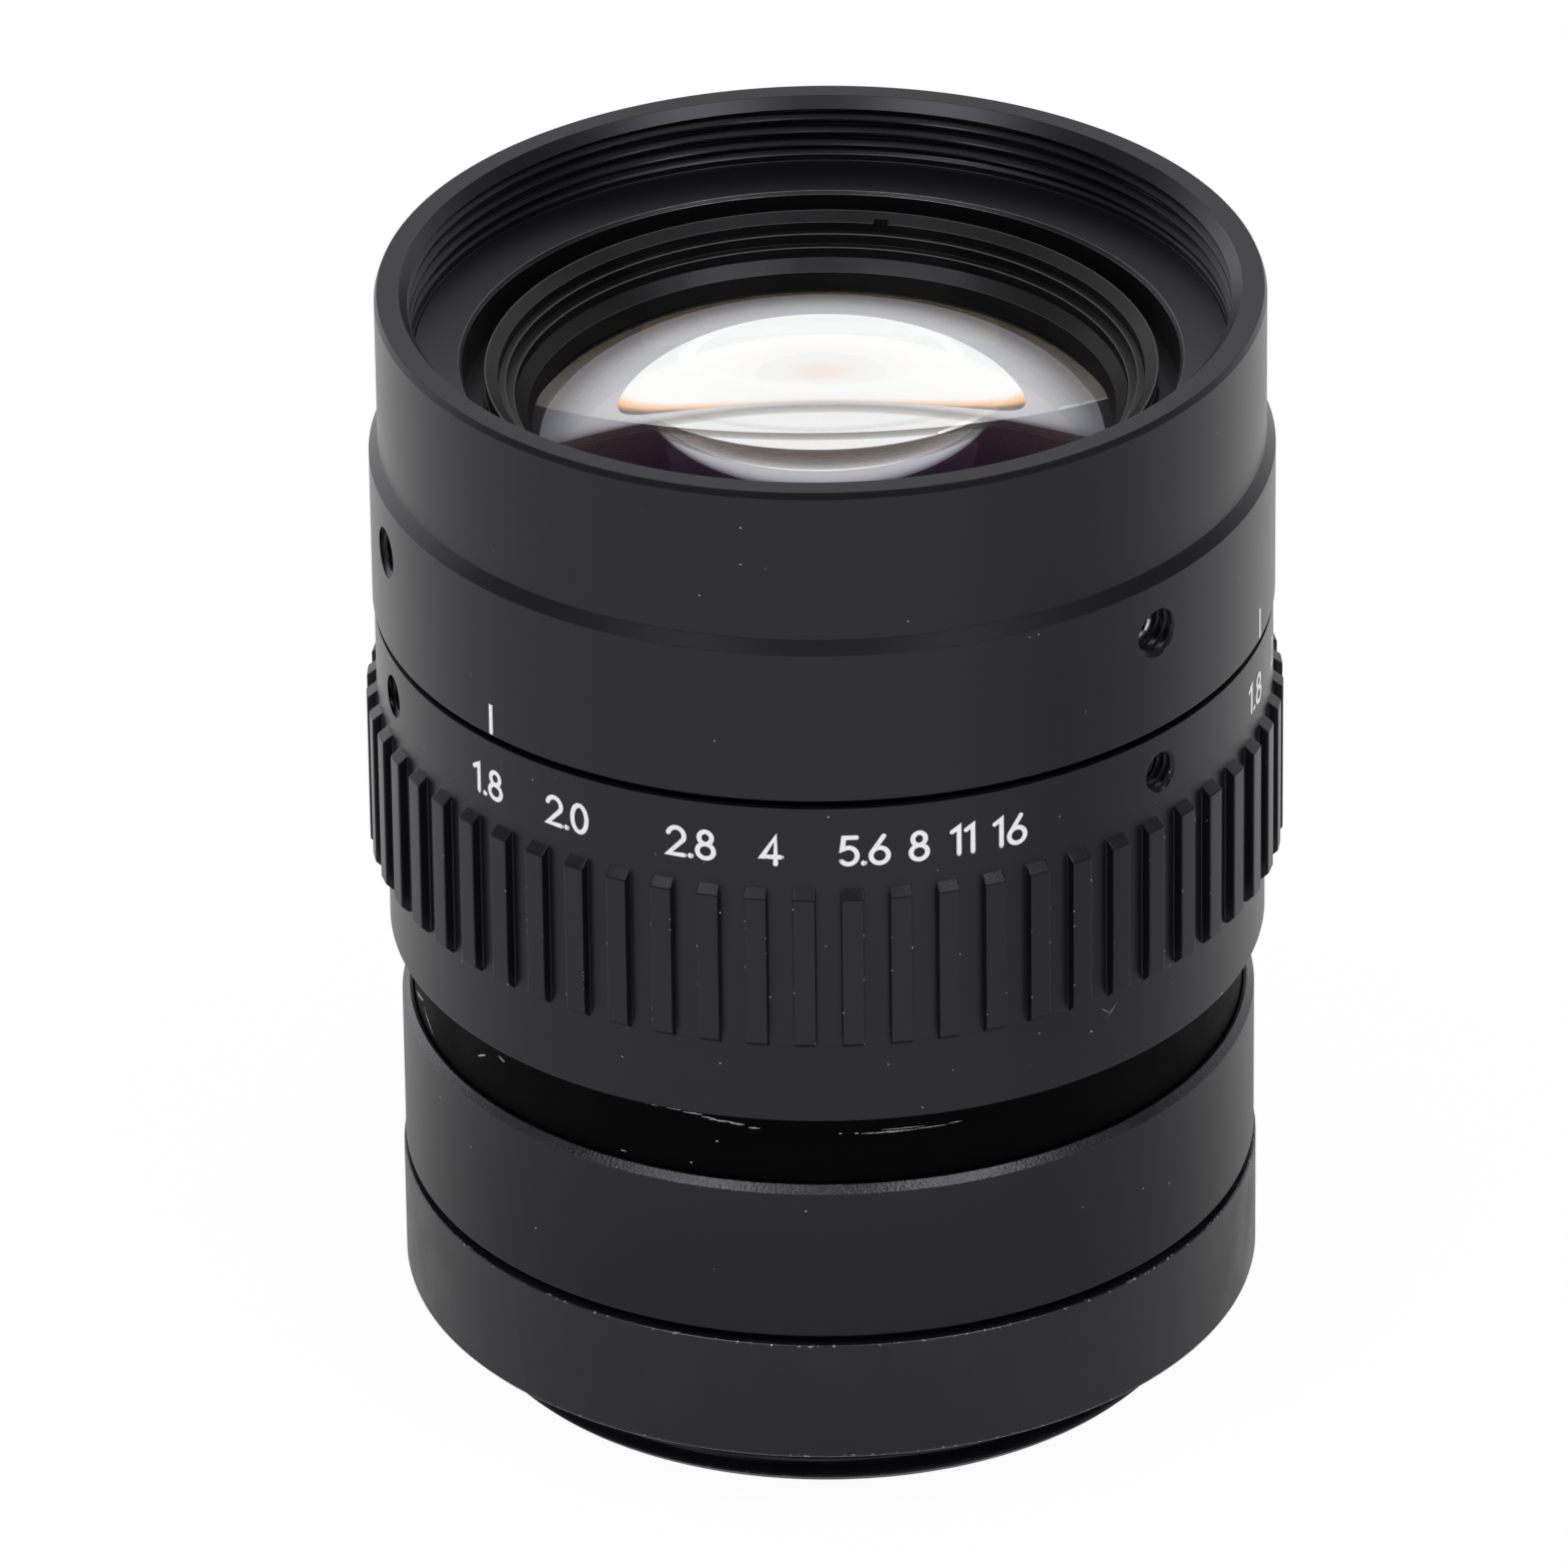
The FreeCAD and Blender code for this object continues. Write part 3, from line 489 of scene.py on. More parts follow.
def dyed_surface(name, dark, light, gloss, wear, dust, depth, shine, bare=(0.55, 0.54, 0.52), scale=14000.0):
    """Dyed aluminium: two tones, a pair of roughnesses, bright worn edges, a painted highlight on thread
    crests, and dust.
    """
    tree, shader = new_surface(name)
    grain = place_group(tree, "fine_grain", Scale=scale)
    worn = place_group(tree, "edge_wear_and_sheen", Amount=wear, Scale=5200.0)["Mask"]
    specks = place_group(tree, "dust_specks", Amount=dust, Scale=900.0)["Mask"]
    body = mix_colour(tree, worn, mix_colour(tree, grain["Tone"], dark, light), bare)
    feed(tree, shader, {
        "Base Color": mix_colour(tree, specks, body, (0.35, 0.33, 0.30)),
        "Roughness": mix_value(tree, worn, mix_value(tree, grain["Tone"], *gloss), 0.3),
        "Metallic": worn,
        "IOR": 1.5,
        "Specular IOR Level": shine,
        "Specular Tint": (0.93, 0.92, 1.0, 1.0),
        "Normal": bump(tree, grain["Height"], depth),
    })


def metal_surface(name, dark, light, gloss, depth):
    """Bare metal with turning marks and a broken tone."""
    tree, shader = new_surface(name)
    grain = place_group(tree, "fine_grain", Scale=9000.0)
    feed(tree, shader, {
        "Base Color": mix_colour(tree, grain["Tone"], dark, light),
        "Roughness": mix_value(tree, grain["Height"], *gloss),
        "Metallic": 1.0,
        "Normal": bump(tree, grain["Height"], depth),
    })


def paint_surface(name, colour, roughness):
    """Flat paint that fills an engraving, slightly uneven."""
    tree, shader = new_surface(name)
    grain = place_group(tree, "fine_grain", Scale=9000.0)
    feed(tree, shader, {
        "Base Color": mix_colour(tree, grain["Height"], tuple(0.72 * c for c in colour), colour),
        "Roughness": mix_value(tree, grain["Tone"], roughness, roughness + 0.15),
        "Normal": bump(tree, grain["Height"], 4e-6),
    })


def glass_surface(name, ior, film):
    """Clear optical glass with a coating of a thickness in nanometres."""
    tree, shader = new_surface(name)
    feed(tree, shader, {
        "Base Color": (1.0, 1.0, 1.0, 1.0), "Roughness": 0.0, "Transmission Weight": 1.0, "IOR": ior,
        "Thin Film Thickness": film, "Thin Film IOR": 1.38,
    })


def backlight_glow_surface(name, colour, strength):
    """Pale spacer wall that glows with painted light, standing in for the light coming up through the lens,
    with a painted warm fringe where it ends.
    """
    tree, shader = new_surface(name)
    grain = place_group(tree, "fine_grain", Scale=6000.0)
    place = add_node(tree, "SeparateXYZ", {"Vector": place_on(tree)})
    # Painted light: the wall glows below a height that climbs towards +Y, so its far side glows higher up;
    # above that height it stays dark
    rise = add_math(tree, "MULTIPLY_ADD", place["Y"], 0.62, 24.17 * MM)
    over = add_math(tree, "SUBTRACT", place["Z"], add_math(tree, "MAXIMUM", rise, 28.75 * MM))
    light = ramp(tree, over, 0.12 * MM, -0.12 * MM)
    below_line = ramp(tree, over, -0.05 * MM, -0.4 * MM)
    near_side = ramp(tree, place["Y"], 7.0 * MM, 5.0 * MM)
    # Painted fringe: an orange line just under that height, on the +Y side only, stands in for the colours that
    # the glass's dispersion draws there
    painted_glow_colour = mix_colour(tree, add_math(tree, "MAXIMUM", below_line, near_side), (1.0, 0.42, 0.06), colour)
    feed(tree, shader, {
        # The base colour is lighter where the wall glows, as part of the same painted light
        "Base Color": mix_colour(tree, light, (0.01,) * 3, (0.4,) * 3),
        "Roughness": mix_value(tree, grain["Tone"], 0.5, 0.6),
        "Emission Color": mix_colour(tree, light, (0.0,) * 3, painted_glow_colour),
        "Emission Strength": strength,
        "Normal": bump(tree, grain["Height"], 2e-6),
    })


def glowing_lip_surface(name, dim, bright, outer, inner):
    """Grey lip of the front spacer that glows as painted light, brighter towards its opening."""
    tree, shader = new_surface(name)
    grain = place_group(tree, "fine_grain", Scale=6000.0)
    flat = add_node(tree, "VectorMath", {0: place_on(tree), 1: (1.0, 1.0, 0.0)}, operation="MULTIPLY")["Vector"]
    reach = add_node(tree, "VectorMath", {0: flat}, operation="LENGTH")["Value"]
    # Painted light: the glow brightens from the lip's outer edge to its opening
    light = ramp(tree, reach, outer * MM, inner * MM)
    feed(tree, shader, {
        "Base Color": mix_colour(tree, light, (0.02,) * 3, (0.1,) * 3),
        "Roughness": mix_value(tree, grain["Tone"], 0.5, 0.6),
        "Emission Color": mix_colour(tree, light, dim, bright),
        "Emission Strength": 1.0,
    })


def make_surfaces(colours):
    """Every finish of the lens."""
    make_grain_group()
    make_wear_group()
    make_dust_group()
    black = tuple(colours.black)
    lighter = tuple(1.35 * c for c in black)
    matte = ((0.0025,) * 3, (0.004,) * 3, (0.34, 0.44), 0.95, 0.03, 6e-6, 0.3)
    dyed_surface("black_anodised", black, lighter, (0.27, 0.36), 0.3, 0.25, 8e-6, 0.5)
    dyed_surface("thread_black", black, lighter, (0.27, 0.36), 0.3, 0.1, 6e-6, 0.45)
    dyed_surface("matte_black", *matte)
    dyed_surface("worn_ledge", *matte, bare=(0.2, 0.2, 0.205))
    # Painted shade: near-black, almost unglossy finish for the greased tube in the focus gap and the top edge
    # of the iris ring at the seam
    dyed_surface("gap_shade_black", (0.0006, 0.0006, 0.0009), (0.0012, 0.0012, 0.0015), (0.5, 0.62), 0.0, 0.02,
                 4e-6, 0.03)
    # Painted shade: a darker, duller black for the top ends of the knurl's lands
    dyed_surface("painted_shade_black", (0.0012, 0.0012, 0.0014), (0.002, 0.002, 0.0022), (0.25, 0.35), 0.0, 0.0,
                 4e-6, 0.4)
    dyed_surface("turned_chamfer", black, (0.012, 0.012, 0.014), (0.2, 0.32), 0.5, 0.1, 2e-5, 0.45,
                 bare=(0.09, 0.09, 0.095), scale=9000.0)
    dyed_surface("inner_black_finish", (0.004,) * 3, (0.007,) * 3, (0.4, 0.5), 0.0, 0.0, 4e-6, 0.5)
    metal_surface("screw_bright", (0.42, 0.42, 0.43), (0.72,) * 3, (0.2, 0.38), 3e-6)
    # Dark steel for the drive screws, which also paints the shade inside every socket
    metal_surface("dark_steel_and_socket_shade", (0.02,) * 3, (0.05,) * 3, (0.25, 0.4), 3e-6)
    metal_surface("blade_grey", (0.03, 0.03, 0.032), (0.06, 0.06, 0.062), (0.35, 0.5), 2e-6)
    metal_surface("key_brass_finish", (0.48, 0.34, 0.14), (0.62, 0.45, 0.2), (0.25, 0.4), 2e-6)
    paint_surface("scale_paint", tuple(colours.paint), 0.5)
    # Grease streaks: real grease, drawn pale grey, which paints their sheen
    paint_surface("grease_with_painted_sheen", (0.3, 0.3, 0.31), 0.15)
    paint_surface("dust_pale", (0.3, 0.29, 0.28), 0.7)
    # Painted light: the next two finishes glow, in place of the light that comes up through the lens
    backlight_glow_surface("spacer_painted_backlight", (0.97, 0.96, 0.94), 0.92)
    glowing_lip_surface("grey_lip_painted_glow", (0.14, 0.135, 0.15), (0.5, 0.49, 0.52), 8.9, 7.0)
    glass_surface("front_glass", 1.8, 115.0)
    glass_surface("inner_glass", 1.62, 0.0)


# Numerals

STROKE_LIFT = 0.0015  # each stroke of a text lies this much higher, so that none is flush with another


def arc(cx, cy, rx, ry, start, end, count=20):
    """Points along an ellipse between two angles in degrees."""
    angles = [math.radians(start + (end - start) * k / count) for k in range(count + 1)]
    return [(cx + rx * math.cos(a), cy + ry * math.sin(a)) for a in angles]


def digit_strokes():
    """Centre lines of each digit at a height of 1, with the digit's width."""
    bowl = arc(0.3, 0.29, 0.27, 0.27, 0, 360, 28)
    return {
        "0": ([arc(0.29, 0.5, 0.26, 0.47, 0, 360, 32)], 0.58),
        "1": ([[(0.0, 0.83), (0.22, 0.97), (0.22, 0.03)]], 0.32),
        "2": ([arc(0.28, 0.69, 0.26, 0.28, 165, -28, 16) + [(0.02, 0.03), (0.55, 0.03)]], 0.56),
        "4": ([[(0.44, 0.02), (0.44, 0.96), (0.02, 0.27), (0.62, 0.27)]], 0.64),
        "5": ([[(0.52, 0.96), (0.13, 0.96), (0.08, 0.55)]
               + arc(0.27, 0.32, 0.27, 0.29, 118, -142, 20)], 0.56),
        "6": ([[(0.43, 0.97), (0.06, 0.40)], bowl], 0.60),
        "8": ([arc(0.29, 0.745, 0.20, 0.215, -90, 270, 26),
               arc(0.29, 0.275, 0.26, 0.25, 90, 450, 28)], 0.58),
        ".": ([[(0.06, 0.05), (0.061, 0.05)]], 0.12),
    }


def unit(vector, other):
    """Direction of a vector, or of another one where it has no length."""
    size = np.linalg.norm(vector)
    return vector / size if size > 0 else other / np.linalg.norm(other)


def ribbon(line, width, steps=6):
    """Flat corners and faces of a stroke with round ends, or a closed ring where the line closes."""
    points = np.array(line, dtype=float)
    closed = len(points) > 3 and np.linalg.norm(points[0] - points[-1]) < TINY
    if closed:
        points = points[:-1]
    count = len(points)
    left = []
    right = []
    for k in range(count):
        before = points[k - 1] if closed or k > 0 else points[k]
        after = points[(k + 1) % count] if closed or k < count - 1 else points[k]
        first = unit(points[k] - before, after - points[k])
        second = unit(after - points[k], first)
        along = unit(first + second, first)
        side = np.array([-along[1], along[0]])
        stretch = 1.0 / max(float(side @ np.array([-first[1], first[0]])), 0.5)
        left.append(points[k] + side * stretch * width / 2)
        right.append(points[k] - side * stretch * width / 2)
    vertices = [p for pair in zip(left, right) for p in pair]
    last = count if closed else count - 1
    faces = [(2 * k, 2 * k + 1, 2 * ((k + 1) % count) + 1, 2 * ((k + 1) % count)) for k in range(last)]
    if not closed:
        ends = ((points[0], points[1], (0, 1), -1), (points[-1], points[-2], (2 * count - 1, 2 * count - 2), 1))
        for tip, inner, rim, way in ends:
            away = tip - inner
            angle = math.atan2(away[1], away[0])
            start = len(vertices)
            for step in range(1, steps):
                turn = angle + way * (math.pi / 2 - math.pi * step / steps)
                vertices.append(tip + width / 2 * np.array([math.cos(turn), math.sin(turn)]))
            faces.append((rim[0], *range(start, len(vertices)), rim[1]))
    return vertices, faces


def bent_text(text, azimuth, middle, radius, height, stroke, strokes, spacing):
    """Corners and faces of a text bent round the band, centred on an azimuth and a height."""
    widths = [strokes[c][1] * height for c in text]
    cursor = -(sum(widths) + spacing * (len(text) - 1)) / 2
    parts = []
    for c, width in zip(text, widths):
        thick = stroke * 1.25 if c == "." else stroke
        for line in strokes[c][0]:
            points, polygons = ribbon([(cursor + x * height, (y - 0.5) * height) for x, y in line], thick)
            reach = radius + STROKE_LIFT * (len(parts) + 1)
            angles = [math.radians(azimuth - 90.0) + x / radius for x, y in points]
            bent = [(reach * math.cos(a), reach * math.sin(a), middle + y) for a, (x, y) in zip(angles, points)]
            parts.append((bent, polygons))
        cursor += width + spacing
    return gathered(parts)


# Sizes and finishes that a user may change

PHOTO_WIDTH = 1569  # pixels


def length_of(name, description, millimetres):
    """Length property in metres, given in millimetres."""
    return FloatProperty(name=name, description=description, default=millimetres * MM, min=0.0, unit="LENGTH",
                         precision=5)


def angle_of(name, description, degrees):
    """Angle property, given in degrees."""
    return FloatProperty(name=name, description=description, default=math.radians(degrees), subtype="ANGLE")


def strength_of(name, description, default):
    """Property of a strength or a power."""
    return FloatProperty(name=name, description=description, default=default, min=0.0)


def colour_of(name, description, default):
    """Colour property."""
    return FloatVectorProperty(name=name, description=description, default=default, subtype="COLOR", size=3,
                               min=0.0, max=1.0)


class LensSizes(PropertyGroup):
    """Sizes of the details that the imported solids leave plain."""

    edge: length_of("Edge rounding", "Rounding of the turned outer edges", 0.07)
    small_edge: length_of("Fine edge rounding", "Rounding of the small inner edges", 0.035)
    mount_pitch: length_of("Mount thread pitch", "Pitch of the camera mount thread", 0.794)
    mount_depth: length_of("Mount thread depth", "Depth of the camera mount thread", 0.46)
    mount_undercut: length_of("Mount undercut", "Plain relief between the flange and the thread", 0.42)
    filter_pitch: length_of("Filter thread pitch", "Pitch of the filter thread", 0.5)
    filter_depth: length_of("Filter thread depth", "Depth of the filter thread", 0.27)
    filter_length: length_of("Filter thread length", "How far the filter thread runs down the bore", 1.75)
    numeral_height: length_of("Numeral height", "Height of the f-numbers", 1.09)
    numeral_stroke: length_of("Numeral stroke", "Width of the engraved strokes", 0.17)
    numeral_gap: length_of("Numeral gap", "Space between the digits of a number", 0.14)
    mark_length: length_of("Index mark length", "Length of the index marks over the seam", 1.14)
    columns: IntProperty(name="Facets round", description="Facets round each turned piece",
                         default=288, min=96)


class LensColours(PropertyGroup):
    """Colours of the finishes."""

    black: colour_of("Black", "Dye of the aluminium", (0.0040, 0.0040, 0.0053))
    paint: colour_of("Paint", "Paint in the numbers and marks", (0.78, 0.78, 0.80))
    floor: colour_of("Floor", "Colour of the floor that takes the shadow", (0.82, 0.82, 0.82))


class StageSettings(PropertyGroup):
    """Camera and light."""

    focal: FloatProperty(name="Focal length", description="Focal length of the camera", default=360.1,
                         unit="CAMERA")
    distance: length_of("Distance", "Distance from the camera to the point it looks at", 541.8)
    elevation: angle_of("Elevation", "Camera angle above the horizon", 28.97)
    roll: angle_of("Roll", "Turn of the camera about its own axis", -0.653)
    look_height: length_of("Look height", "Height of the point that the camera looks at", 19.53)
    shift_x: FloatProperty(name="Shift X", description="Sideways shift of the frame",
                           default=-41.7 / PHOTO_WIDTH)
    shift_y: FloatProperty(name="Shift Y", description="Upward shift of the frame",
                           default=-33.4 / PHOTO_WIDTH)
    room: strength_of("Room", "Strength of the dim room that the gloss mirrors", 0.2)
    world: strength_of("World", "Strength of the plain light from all round", 0.85)
    sweep: strength_of("Sweep", "Strength of the white paper sweep behind the lens", 0.85)
    table: strength_of("Table", "Brightness of the table as the gloss mirrors it", 0.98)
    box_strength: strength_of("Softbox power", "Power of each softbox in watts", 3.0)
    side_strength: strength_of("Side softbox power", "Power of the large softbox at the left, in watts", 3.4)
    top_strength: strength_of("Top softbox power", "Power of the softbox above and behind, in watts", 0.6)
    box_size: length_of("Softbox size", "Side of each softbox", 380.0)
    box_azimuth: angle_of("Softbox azimuth", "How far each softbox stands to the side of the camera", 46.0)
    box_elevation: angle_of("Softbox elevation", "Height angle of the softboxes", 57.0)


def in_mm(*names):
    """Sizes of the details in millimetres, by their names."""
    sizes = bpy.context.scene.lens_sizes
    return [getattr(sizes, name) / MM for name in names]


def facets():
    """Facets round each turned piece."""
    return bpy.context.scene.lens_sizes.columns


def material(name):
    """Finish by its name."""
    return bpy.data.materials[name]


# Heights and radii shared by the pieces, in millimetres, some read from the imported nodes and the rest given

INDEX_BOTTOM, RIM_TOP = node_heights("front_barrel")
INDEX_RADIUS = node_radius("front_barrel")
IRIS_BOTTOM, IRIS_TOP = node_heights("iris_ring")
FOCUS_BOTTOM, FOCUS_TOP = node_heights("focus_ring")
FOCUS_RADIUS = node_radius("focus_ring")
MOUNT_END, GUIDE_TOP = node_heights("mount_base")
BASE_RADIUS = node_radius("mount_base")
CELL_LIP, CELL_RIM = node_heights("front_cell")
RING_LOW, RING_TOP = node_heights("front_retaining_ring")
MOUNT_RADIUS = 12.7
CELL_RADIUS = 11.5
FLANGE_TOP = 31.46  # where the front cell's flange meets the barrel
SLIDING_RADIUS = FOCUS_RADIUS - 0.38
TUBE_RADIUS = SLIDING_RADIUS - 0.05
BAND_RADIUS = SLIDING_RADIUS + 0.99
SKIRT_RADIUS = SLIDING_RADIUS + 0.73
LAND_RADIUS = BAND_RADIUS + 0.36
KNURL_BOTTOM = IRIS_BOTTOM + 3.12
KNURL_TOP = KNURL_BOTTOM + 6.08
NOSE_RADIUS = INDEX_RADIUS - 0.31
STEP_BOTTOM = INDEX_BOTTOM + 5.57
STEP_TOP = STEP_BOTTOM + 0.45
INDEX_HOLE_Z = INDEX_BOTTOM + 3.79
DRIVE_HOLE_Z = IRIS_TOP - 1.51
INDEX_AZIMUTH = -46.7
INDEX_HOLE_AZIMUTH = 46.3
DRIVE_HOLE_AZIMUTH = 47.0
TEETH = 60
TOOTH_AZIMUTH = 3.1  # middle of the first land of the knurl, in degrees
TOOTH_PERIOD = 360.0 / TEETH
LAND_EDGE = 1.28  # worn edge of a land, in degrees from its middle
LAND_CHAMFER = 0.26
PAINT_LIFT = 0.003  # how far paint and dust lie off the wall under them


class LENS_OT_mount_base(Operator):
    """Flange ring with the camera thread and the guide tube"""

    bl_idname = "lens.mount_base"
    bl_label = "Mount base"

    def execute(self, context):
        edge, fine, pitch, depth, undercut = in_mm(
            "edge", "small_edge", "mount_pitch", "mount_depth", "mount_undercut")
        root = MOUNT_RADIUS - depth
        thread_low = MOUNT_END + 0.25
        base_top = FOCUS_BOTTOM - 0.31
        corners = [
            (10.9, MOUNT_END + 0.3, 0), (11.2, MOUNT_END, 0), (12.45, MOUNT_END, fine),
            (MOUNT_RADIUS, thread_low, 0), (MOUNT_RADIUS, -undercut, 0), (root, -undercut + 0.15, 0),
            (root, 0.0, fine), (BASE_RADIUS, 0.0, 2.2 * edge), (BASE_RADIUS, base_top, edge),
            (14.3, base_top, fine), (14.3, FOCUS_BOTTOM, fine), (13.0, FOCUS_BOTTOM, 0),
            (13.0, GUIDE_TOP, fine), (12.2, GUIDE_TOP, fine), (12.2, 4.0, 0), (10.9, 4.0, 0),
        ]
        thread = (thread_low, -undercut, pitch, -depth, MOUNT_RADIUS)
        base = turned_piece("camera_mount_base", corners, facets(), material("thread_black"), thread)
        key_top = GUIDE_TOP - 0.5
        low = (11.7, -0.75, key_top - 1.6)
        high = (13.5, 0.75, key_top)
        cut_away(base, [block(low, high, turn) for turn in THIRDS])
        turned_normals(base)
        dressed(base, "mount", "black_anodised", "mount_base")
        return {"FINISHED"}


class LENS_OT_focus_ring(Operator):
    """Smooth focus ring with a chamfer under the gap"""

    bl_idname = "lens.focus_ring"
    bl_label = "Focus ring"

    def execute(self, context):
        edge, fine = in_mm("edge", "small_edge")
        step_top = FOCUS_BOTTOM + 0.7
        corners = [
            (13.05, FOCUS_BOTTOM, 0), (FOCUS_RADIUS, FOCUS_BOTTOM, 1.4 * edge),
            (FOCUS_RADIUS, FOCUS_TOP - 0.25, fine), (FOCUS_RADIUS - 0.26, FOCUS_TOP, fine),
            (SLIDING_RADIUS, FOCUS_TOP, 0.02), (SLIDING_RADIUS, step_top, 0), (13.05, step_top, 0),
        ]
        ring = turned_piece("focus_ring_turned", corners, facets(), material("black_anodised"))
        turned_normals(ring)
        paint_faces(ring, "turned_chamfer", lambda r, z, slope: 0.25 < slope < 0.95 and z > FOCUS_TOP - 0.3)
        dressed(ring, "focus", "black_anodised", "focus_ring")
        return {"FINISHED"}


def knurl_columns():
    """Angle and share of the land's height of each column round the ring, and which columns are worn."""
    half = [(0.0, 1.0), (1.20, 1.0), (1.30, 0.97), (1.34, 0.88), (1.365, 0.14), (1.385, 0.05), (1.44, 0.0)]
    section = [(-a, share) for a, share in reversed(half[1:])] + half + [(TOOTH_PERIOD / 2, 0.0)]
    angles = [math.radians(TOOTH_AZIMUTH + TOOTH_PERIOD * tooth + offset - 90.0)
              for tooth in range(TEETH) for offset, share in section]
    shares = np.array([share for offset, share in section] * TEETH)
    beside = np.roll(shares, -1)
    low = np.minimum(shares, beside)
    worn = (np.maximum(shares, beside) > 0.9) & (low > 0.8) & (low < 0.99)
    return np.array(angles), shares, worn.astype(float)


class LENS_OT_iris_ring(Operator):
    """Knurled iris ring with its three screw holes"""

    bl_idname = "lens.iris_ring"
    bl_label = "Iris ring"

    def execute(self, context):
        edge, fine = in_mm("edge", "small_edge")
        outline = [
            (SLIDING_RADIUS, IRIS_BOTTOM, 0.05), (SKIRT_RADIUS, IRIS_BOTTOM, edge),
            (SKIRT_RADIUS, KNURL_BOTTOM, fine), (BAND_RADIUS, KNURL_BOTTOM, fine),
            (BAND_RADIUS, KNURL_BOTTOM + LAND_CHAMFER, 0), (BAND_RADIUS, KNURL_TOP - LAND_CHAMFER, 0),
            (BAND_RADIUS, KNURL_TOP, 0), (BAND_RADIUS, IRIS_TOP - 0.1, fine),
            (BAND_RADIUS - 0.08, IRIS_TOP - 0.02, 0), (BAND_RADIUS - 0.3, IRIS_TOP, 0),
            (SLIDING_RADIUS, IRIS_TOP, fine),
        ]
        rows = []
        for (r, z), mark in zip(*rounded(outline)):
            if r < BAND_RADIUS - 0.2 or z > KNURL_TOP - TINY or z < KNURL_BOTTOM - TINY:
                land = 0.0
            elif z < KNURL_BOTTOM + 0.1:
                land = 0.10 + (z - KNURL_BOTTOM)
            else:
                land = LAND_RADIUS - BAND_RADIUS
            if r > BAND_RADIUS - 0.02 and abs(z - (KNURL_TOP - LAND_CHAMFER)) < TINY:
                rows += [(r, z - 0.03, land, 1.0), (r, z + 0.02, land - 0.03, 0.0)]
            else:
                rows.append((r, z, land, mark))
        angle, share, worn_columns = knurl_columns()
        columns = len(angle)
        grid = np.zeros((len(rows), columns, 3))
        marks = np.repeat([row[3] for row in rows], columns).reshape(len(rows), columns)
        for k, (r, z, land, mark) in enumerate(rows):
            radius = r + land * share
            grid[k] = np.stack([radius * np.cos(angle), radius * np.sin(angle), z + 0 * angle], axis=-1)
            if land > 0.05 and rows[(k + 1) % len(rows)][2] > 0.05:
                marks[k] = np.maximum(marks[k], worn_columns)
        faces = grid_faces(len(rows), columns)
        ring = mesh_piece("iris_ring_knurled", grid, faces, material("black_anodised"), marks.reshape(-1))
        cut_away(ring, [drill(0.66, 0.80, BAND_RADIUS, SLIDING_RADIUS - 0.5, DRIVE_HOLE_AZIMUTH + turn,
                              DRIVE_HOLE_Z, 0.3) for turn in THIRDS])
        turned_normals(ring)
        # Painted shade: the top ends of the lands take the darker, duller black
        paint_faces(ring, "painted_shade_black", lambda r, z, slope: slope > 0.6 and r > BAND_RADIUS
                    and KNURL_TOP - 0.5 < z < KNURL_TOP + 0.05)
        # Painted shade: the ring's top edge takes the near-black gap finish, which widens the dark seam under
        # the barrel
        paint_faces(ring, "gap_shade_black", lambda r, z, slope: slope > 0.25 and r > BAND_RADIUS - 0.5
                    and z > IRIS_TOP - 0.16)
        dressed(ring, "iris", "black_anodised", "iris_ring")
        return {"FINISHED"}


class LENS_OT_f_numbers(Operator):
    """Painted f-numbers on the iris ring, three times round"""

    bl_idname = "lens.f_numbers"
    bl_label = "F-numbers"

    def execute(self, context):
        scale = (("1.8", -47.8), ("2.0", -34.5), ("2.8", -17.2), ("4", -6.9), ("5.6", 4.7), ("8", 11.6),
                 ("11", 17.4), ("16", 23.6))
        middle = RIM_TOP - 13.435
        height, stroke, gap = in_mm("numeral_height", "numeral_stroke", "numeral_gap")
        strokes = digit_strokes()
        radius = BAND_RADIUS + PAINT_LIFT
        texts = [bent_text(text, azimuth + turn, middle, radius, height, stroke, strokes, gap)
                 for turn in THIRDS for text, azimuth in scale]
        numbers = mesh_piece("f_number_paint", *gathered(texts), material("scale_paint"), smooth=False)
        dressed(numbers, "iris", None)
        return {"FINISHED"}


